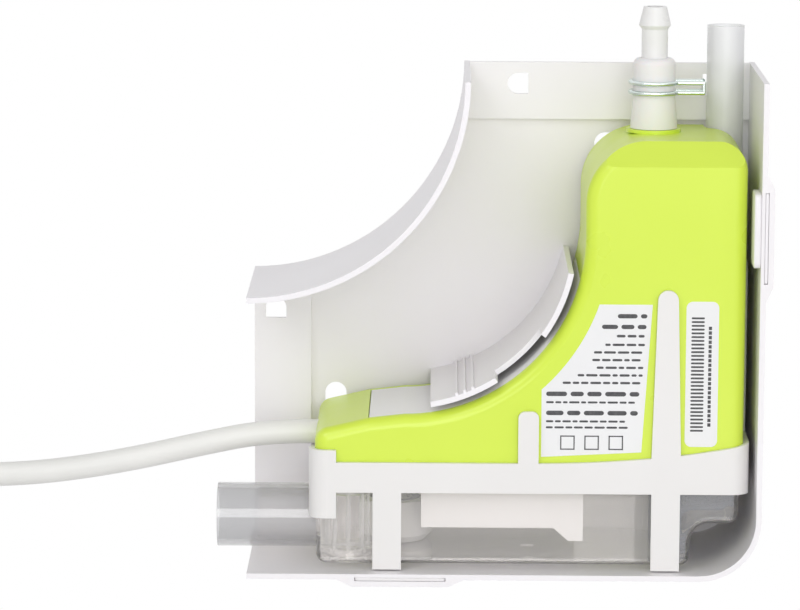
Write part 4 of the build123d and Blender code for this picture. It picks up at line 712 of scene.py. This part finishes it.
class PUMP_OT_tank(bpy.types.Operator):
    """Clear tank with its inlet sleeve, strainer and filter foam"""

    bl_idname = "pump.tank"
    bl_label = "Tank"

    def execute(self, context):
        hues = context.scene.pump_colours
        # What light keeps of its colour on its way through one wall.
        through = (0.985, 0.98, 0.976)
        for node, name, tint, roughness, haze, bend in (
            ("reservoir", "clear tank", hues.clear, 0.04, 0.09, 1.28),
            ("inlet_strainer", "clear strainer", (0.95, 0.955, 0.96), 0.08, 0.12, 1.3),
            ("inlet_sleeve", "milky sleeve", (0.66, 0.66, 0.67), 0.1, 0.26, 1.3),
        ):
            clear = clear_plastic(
                name, tint, roughness, through, bend, 1.0 - haze, Coat_Weight=0.9, Coat_Roughness=0.04
            )
            dress(clear, node)
        # Open cells: each is raised in its middle. Its colour is painted lighter there and painted darker
        # between the cells, as shade in the pores.
        foam = Finish("filter foam", Roughness=0.9, Specular_IOR_Level=0.2)
        cells = add(foam.tree, "ShaderNodeTexVoronoi", {"Scale": 2200.0})
        foam.tree.links.new(foam.spot, cells.inputs["Vector"])
        solid = add(foam.tree, "ShaderNodeMapRange", {"From Max": 0.7, "To Min": 1.0, "To Max": 0.0})
        foam.tree.links.new(cells.outputs["Distance"], solid.inputs["Value"])
        height = solid.outputs["Result"]
        # Painted light and shade: raised cell middles get a lit copy of the foam colour, the pores a shaded
        # copy.
        foam.join(
            blend_colour(foam.tree, height, shade(hues.foam, 0.7), shade(hues.foam, 1.2)), "Base Color"
        )
        foam.emboss(height, 0.8, 0.0004)
        low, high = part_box("suction_filter")
        block = prism("filter_block", foam_outline(), low[1], high[1], FOAM_BEVEL, "pump_unit")
        dress(foam, block)
        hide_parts("suction_filter")
        return {"FINISHED"}


class PUMP_OT_sensing(bpy.types.Operator):
    """Level sensor, float and magnet"""

    bl_idname = "pump.sensing"
    bl_label = "Level sensing"

    def execute(self, context):
        hues = context.scene.pump_colours
        sensor = white_moulding("sensor moulding", (0.82, 0.80, 0.79), (0.78, 0.765, 0.75), 0.4)
        dress(sensor, "sensor_housing")
        float_skin = Finish("float foam", Specular_IOR_Level=0.35)
        float_skin.mould(
            hues.cradle, shade(hues.cradle, 0.94), Roughness=0.6, Grain_Scale=1800.0, Grain_Depth=0.35
        )
        dress(float_skin, "float_body")
        magnet = Finish("magnet ferrite", Metallic=0.3)
        magnet.mould(
            (0.05, 0.05, 0.055), (0.08, 0.08, 0.08), Roughness=0.55, Grain_Scale=1600.0, Grain_Depth=0.2
        )
        dress(magnet, "float_magnet")
        board = Finish("board laminate", Coat_Weight=0.5, Coat_Roughness=0.1)
        board.mould((0.015, 0.13, 0.05), (0.01, 0.09, 0.035), Roughness=0.4, Drift_Scale=300.0)
        dress(board, "level_sensor_board", "control_board")
        return {"FINISHED"}


SPRING_SIDES, SPRING_STEPS = 10, 28  # sides of the wire, and steps in each turn


def wound_spring(name, node, wire, turns, finish):
    """Compression spring in a CAD spring's place.

    The wire's centre is (r cos a, r sin a, z), with a = 2 pi turns t and z rising evenly with t from
    foot to head.
    """
    low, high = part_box(node)
    t = np.linspace(0, 1, turns * SPRING_STEPS + 1)
    radius = (high[0] - low[0] - wire) / 2
    middle = (low + high) / 2
    path = np.column_stack(
        [
            middle[0] + radius * np.cos(ROUND * turns * t),
            middle[1] + radius * np.sin(ROUND * turns * t),
            low[2] + wire / 2 + (high[2] - low[2] - wire) * t,
        ]
    )
    spring = tube_along(name, path, wire / 2, SPRING_SIDES, "pump_unit")
    dress(finish, spring)
    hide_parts(node)
    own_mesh(spring)


WINDING_PITCH = 0.4 * MM


class PUMP_OT_engine(bpy.types.Operator):
    """Piston pump engine inside the tower"""

    bl_idname = "pump.engine"
    bl_label = "Engine"

    def execute(self, context):
        dress(metal("drawn steel", (0.68, 0.68, 0.68), (0.58, 0.58, 0.58), 0.28), "core_tube", "piston")
        dress(metal("plated strip", (0.62, 0.62, 0.58), (0.5, 0.5, 0.47), 0.35), "solenoid_yoke")
        wire = metal("spring wire", (0.66, 0.66, 0.66), (0.55, 0.55, 0.55), 0.25)
        wound_spring("piston_coil_spring", "piston_spring", 0.6 * MM, 6, wire)
        wound_spring("valve_coil_spring", "valve_spring", 0.4 * MM, 3, wire)
        black = Finish("black moulding")
        black.mould((0.03, 0.03, 0.03), (0.045, 0.045, 0.045), Roughness=0.45)
        dress(black, "solenoid_bobbin", "inlet_fitting", "valve_seat", "outlet_head")
        rubber = Finish("black rubber")
        rubber.mould((0.02, 0.02, 0.02), (0.03, 0.03, 0.03), Roughness=0.75, Grain_Depth=0.3)
        dress(rubber, "pump_mounts", "delivery_valve")
        # Winding: fine turns one above the other, as waves along the height.
        winding = Finish("copper winding", Metallic=0.85, Roughness=0.35)
        turn = maths(winding.tree, "MULTIPLY", winding.coordinates()["Z"], ROUND / WINDING_PITCH)
        winding.emboss(maths(winding.tree, "SINE", turn), 0.6, 0.0001)
        drift = noise(winding.tree, winding.spot, 300.0)
        copper = blend_colour(winding.tree, drift, (0.60, 0.22, 0.07), (0.42, 0.12, 0.03))
        winding.join(copper, "Base Color")
        dress(winding, "solenoid_coil")
        dress(clear_plastic("suction tube", (0.9, 0.92, 0.92), 0.2, (0.8, 0.82, 0.82)), "suction_tube")
        return {"FINISHED"}


class PUMP_OT_outlet(bpy.types.Operator):
    """Hose, barb, spring clip and breather tube"""

    bl_idname = "pump.outlet"
    bl_label = "Outlet"

    def execute(self, context):
        hues = context.scene.pump_colours
        hose = Finish(
            "soft hose",
            Specular_IOR_Level=0.4,
            Sheen_Weight=0.1,
            Subsurface_Weight=0.12,
            Subsurface_Scale=0.003,
        )
        hose.mould(hues.rubber, shade(hues.rubber, 0.97), Roughness=0.5, Grain_Depth=0.12)
        dress(hose, "delivery_hose")
        barb = white_moulding("barb moulding", (0.84, 0.835, 0.83), (0.81, 0.80, 0.80), 0.3, 0.05)
        dress(barb, "barb_adaptor")
        tube = clear_plastic("milky tube", hues.milky, 0.3, (0.9, 0.91, 0.91), 1.4, 0.55)
        dress(tube, "breather_tube")
        dress(metal("zinc wire", hues.zinc, (0.60, 0.70, 0.66), 0.22), "hose_clip")
        return {"FINISHED"}


def across(node, height):
    """Lowest and highest X at which a flat CAD piece's edges cross a height.

    Each edge that crosses it is cut where z = height: x = x0 + (height - z0) / (z1 - z0) (x1 - x0).
    """
    mesh = NODES[node].data
    points = np.empty(len(mesh.vertices) * 3, np.float32)
    mesh.vertices.foreach_get("co", points)
    points = points.reshape(-1, 3)
    ends = np.empty(len(mesh.edges) * 2, np.int32)
    mesh.edges.foreach_get("vertices", ends)
    low, high = points[ends[0::2]], points[ends[1::2]]
    crossing = (low[:, 2] - height) * (high[:, 2] - height) < 0
    low, high = low[crossing], high[crossing]
    share = (height - low[:, 2]) / (high[:, 2] - low[:, 2])
    x = low[:, 0] + share * (high[:, 0] - low[:, 0])
    return float(x.min()), float(x.max())


BAR_END_POINTS = 6


def flat_bars(name, bars, depth, body):
    """Printed bars, all at one depth and facing out of the wall.

    Each is (left, right, low, high). A lying bar is a rectangle between two half circles, whose points
    are end centre + half height (cos a, sin a); a standing or square one is a plain rectangle.
    """
    right_end = np.radians(np.linspace(-90, 90, BAR_END_POINTS))
    angle = np.concatenate([right_end, right_end + math.pi])
    points, faces = [], []
    for left, right, low, high in bars:
        half = (high - low) / 2
        if right - left > high - low:
            x = np.repeat([right - half, left + half], BAR_END_POINTS) + half * np.cos(angle)
            ring = np.column_stack([x, (low + high) / 2 + half * np.sin(angle)])
        else:
            ring = np.array([(right, low), (right, high), (left, high), (left, low)])
        faces.append(list(range(len(points), len(points) + len(ring))))
        points += [(x, depth, z) for x, z in ring]
    return piece_from(name, np.array(points), faces, body, smooth=False)


# How far printing stands in front of its sticker.
PROUD = 0.03 * MM
# Rows of the rating sticker: place down the sticker as a share of its height, half height of the
# letters in millimetres, share of the width that is printed, and whether the row keeps to the right.
RATING_ROWS = (
    (0.075, 0.62, 0.62, True), (0.145, 0.62, 0.86, True), (0.205, 0.38, 0.52, True),
    (0.262, 0.34, 0.66, True), (0.312, 0.34, 0.78, True), (0.362, 0.34, 0.74, True),
    (0.412, 0.34, 0.62, True), (0.462, 0.34, 0.80, True), (0.512, 0.34, 0.90, True),
    (0.585, 0.66, 0.98, False), (0.640, 0.30, 0.94, False), (0.710, 0.66, 0.98, False),
    (0.765, 0.30, 0.88, False), (0.805, 0.30, 0.92, False),
)
ROW_MARGIN = 1.3 * MM
WORD_SPACE = 1.5  # in half heights of the row's letters
SHORTEST_SPACE = 1.2 * MM
# Empty frames at the rating sticker's foot, where approval marks would be.
FRAMES, FRAMES_DOWN = 3, 0.905
FRAME_START, FRAME_PITCH = 5.5 * MM, 7.0 * MM
FRAME_SIDE, FRAME_LINE = 4.2 * MM, 0.35 * MM


def rating_bars():
    """Words as bars of chance length, row by row, and three empty frames below them."""
    chance = np.random.default_rng(5)
    low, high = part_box("rating_label")
    height = high[2] - low[2]
    bars = []
    for down, half, share, keeps_right in RATING_ROWS:
        z = high[2] - down * height
        left, right = across("rating_label", z)
        left, right = left + ROW_MARGIN, right - ROW_MARGIN
        width = (right - left) * share
        start = right - width if keeps_right else left
        end = start + width
        while end - start > SHORTEST_SPACE:
            word = min(chance.uniform(2.2, 5.2) * half * 2 * MM, end - start)
            bars.append((start, start + word, z - half * MM, z + half * MM))
            start += word + half * WORD_SPACE * MM
    foot = high[2] - FRAMES_DOWN * height
    left, _ = across("rating_label", foot)
    low_edge, high_edge = foot - FRAME_SIDE / 2, foot + FRAME_SIDE / 2
    for index in range(FRAMES):
        x = left + FRAME_START + index * FRAME_PITCH
        end = x + FRAME_SIDE
        bars += [
            (x, end, low_edge, low_edge + FRAME_LINE),
            (x, end, high_edge - FRAME_LINE, high_edge),
            (x, x + FRAME_LINE, low_edge, high_edge),
            (end - FRAME_LINE, end, low_edge, high_edge),
        ]
    return bars


def stacked_bars(left, right, foot, top, height, pitch):
    """Even bars, one above the other from foot to top."""
    bars = []
    while foot < top:
        bars.append((left, right, foot, foot + height))
        foot += pitch
    return bars


def serial_bars():
    """A block of even stripes and a column of figures beside it."""
    low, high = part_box("serial_label")
    stripes_left, stripes_right = low[0] + 1.5 * MM, low[0] + 5.3 * MM
    figures_left, figures_right = stripes_right + 1.2 * MM, stripes_right + 2.1 * MM
    stripes_foot, stripes_top = low[2] + 4.5 * MM, high[2] - 4.5 * MM
    figures_foot, figures_top = low[2] + 6.0 * MM, high[2] - 8.0 * MM
    stripes = stacked_bars(stripes_left, stripes_right, stripes_foot, stripes_top, 0.55 * MM, 1.1 * MM)
    figures = stacked_bars(figures_left, figures_right, figures_foot, figures_top, 1.0 * MM, 1.35 * MM)
    return stripes + figures


class PUMP_OT_labels(bpy.types.Operator):
    """Stickers on the casing's front, printed with plain bars in place of words"""

    bl_idname = "pump.labels"
    bl_label = "Stickers"

    def execute(self, context):
        paper = Finish("sticker film", Specular_IOR_Level=0.4)
        paper.mould((0.84, 0.84, 0.85), (0.81, 0.81, 0.82), Roughness=0.42, Grain_Depth=0.03)
        dress(paper, "rating_label", "serial_label")
        ink = Finish("printing ink", Specular_IOR_Level=0.3)
        ink.mould((0.07, 0.07, 0.075), (0.11, 0.11, 0.115), Roughness=0.5, Drift_Scale=700.0)
        for name, sticker, bars in (
            ("rating_marks", "rating_label", rating_bars()),
            ("serial_marks", "serial_label", serial_bars()),
        ):
            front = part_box(sticker)[0][1]
            dress(ink, flat_bars(name, bars, front - PROUD, "pump_unit"))
        return {"FINISHED"}


WHITE = (1.0, 1.0, 1.0, 1.0)
FLOOR_HALF, FLOOR_DOWN = 6.0, -0.2
LAMPS_AIM = mm(0, -25, 0)


def seen_rays(tree):
    """1 for rays from the camera, a reflection or clear plastic, and 0 for rays that bring light."""
    path = add(tree, "ShaderNodeLightPath")
    seen = maths(tree, "MAXIMUM", path.outputs["Is Camera Ray"], path.outputs["Is Glossy Ray"])
    return maths(tree, "MAXIMUM", seen, path.outputs["Is Transmission Ray"])


class PUMP_OT_stage(bpy.types.Operator):
    """White floor, even room light and soft lamps"""

    bl_idname = "pump.stage"
    bl_label = "Stage"

    def execute(self, context):
        stage = context.scene.pump_stage
        corners = [(-1, -1), (1, -1), (1, 1), (-1, 1)]
        mesh = bpy.data.meshes.new("floor")
        mesh.from_pydata(
            [(x * FLOOR_HALF, y * FLOOR_HALF, FLOOR_DOWN) for x, y in corners], [], [(0, 1, 2, 3)]
        )
        floor = bpy.data.objects.new("floor", mesh)
        context.scene.collection.objects.link(floor)
        paint = Finish("floor paint", Base_Color=(0.86, 0.86, 0.86, 1), Roughness=0.8)
        white = add(paint.tree, "ShaderNodeEmission", {"Color": WHITE, "Strength": 1.0})
        choose_shader(
            paint.tree, seen_rays(paint.tree), paint.shader.outputs[0], white.outputs[0], paint.output
        )
        dress(paint, floor)

        world = bpy.data.worlds.new("room")
        context.scene.world = world
        world.use_nodes = True
        tree = world.node_tree
        room = tree.nodes["Background"]
        room.inputs["Strength"].default_value = stage.sky
        room.inputs["Color"].default_value = WHITE
        white = add(tree, "ShaderNodeBackground", {"Color": WHITE, "Strength": 1.0})
        choose_shader(tree, seen_rays(tree), room.outputs[0], white.outputs[0], tree.nodes["World Output"])

        for name, place, side, power in (
            ("key lamp", (-0.75, -1.1, 1.1), 0.8, stage.key),
            ("fill lamp", (1.2, -1.2, 0.5), 1.0, stage.fill),
            ("front lamp", (0.15, -1.9, 0.45), 1.1, stage.front),
        ):
            data = bpy.data.lights.new(name, "AREA")
            data.size = side
            data.energy = power
            lamp = bpy.data.objects.new(name, data)
            context.scene.collection.objects.link(lamp)
            lamp.location = place
            lamp.rotation_euler = (LAMPS_AIM - Vector(place)).to_track_quat("-Z", "Y").to_euler()
        context.scene.view_settings.view_transform = "Standard"
        return {"FINISHED"}


# ---------------------------------------------------------------- panel and run

OPERATORS = (
    PUMP_OT_camera,
    PUMP_OT_cable,
    PUMP_OT_tray,
    PUMP_OT_latches,
    PUMP_OT_casing,
    PUMP_OT_cradle,
    PUMP_OT_tank,
    PUMP_OT_sensing,
    PUMP_OT_engine,
    PUMP_OT_outlet,
    PUMP_OT_labels,
    PUMP_OT_stage,
)


class PUMP_PT_pieces(bpy.types.Panel):
    """Lists the pump's groups of pieces"""

    bl_idname = "PUMP_PT_pieces"
    bl_label = "Condensate pump"
    bl_space_type = "VIEW_3D"
    bl_region_type = "UI"
    bl_category = "Pump"

    def draw(self, context):
        for settings in (context.scene.pump_colours, context.scene.pump_cable, context.scene.pump_stage):
            box = self.layout.box()
            for name in settings.__annotations__:
                box.prop(settings, name)
        for operator in OPERATORS:
            self.layout.operator(operator.bl_idname)


CLASSES = (PumpColours, PumpCable, PumpStage, *OPERATORS, PUMP_PT_pieces)


def register():
    for item in CLASSES:
        bpy.utils.register_class(item)
    bpy.types.Scene.pump_colours = PointerProperty(type=PumpColours)
    bpy.types.Scene.pump_cable = PointerProperty(type=PumpCable)
    bpy.types.Scene.pump_stage = PointerProperty(type=PumpStage)


def unregister():
    del bpy.types.Scene.pump_stage
    del bpy.types.Scene.pump_cable
    del bpy.types.Scene.pump_colours
    for item in reversed(CLASSES):
        bpy.utils.unregister_class(item)


def main():
    """Registers the add-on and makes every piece."""
    register()
    SHARED["moulding"] = moulding_group()
    for operator in OPERATORS:
        group, name = operator.bl_idname.split(".")
        getattr(getattr(bpy.ops, group), name)()


if __name__ == "__main__":
    main()
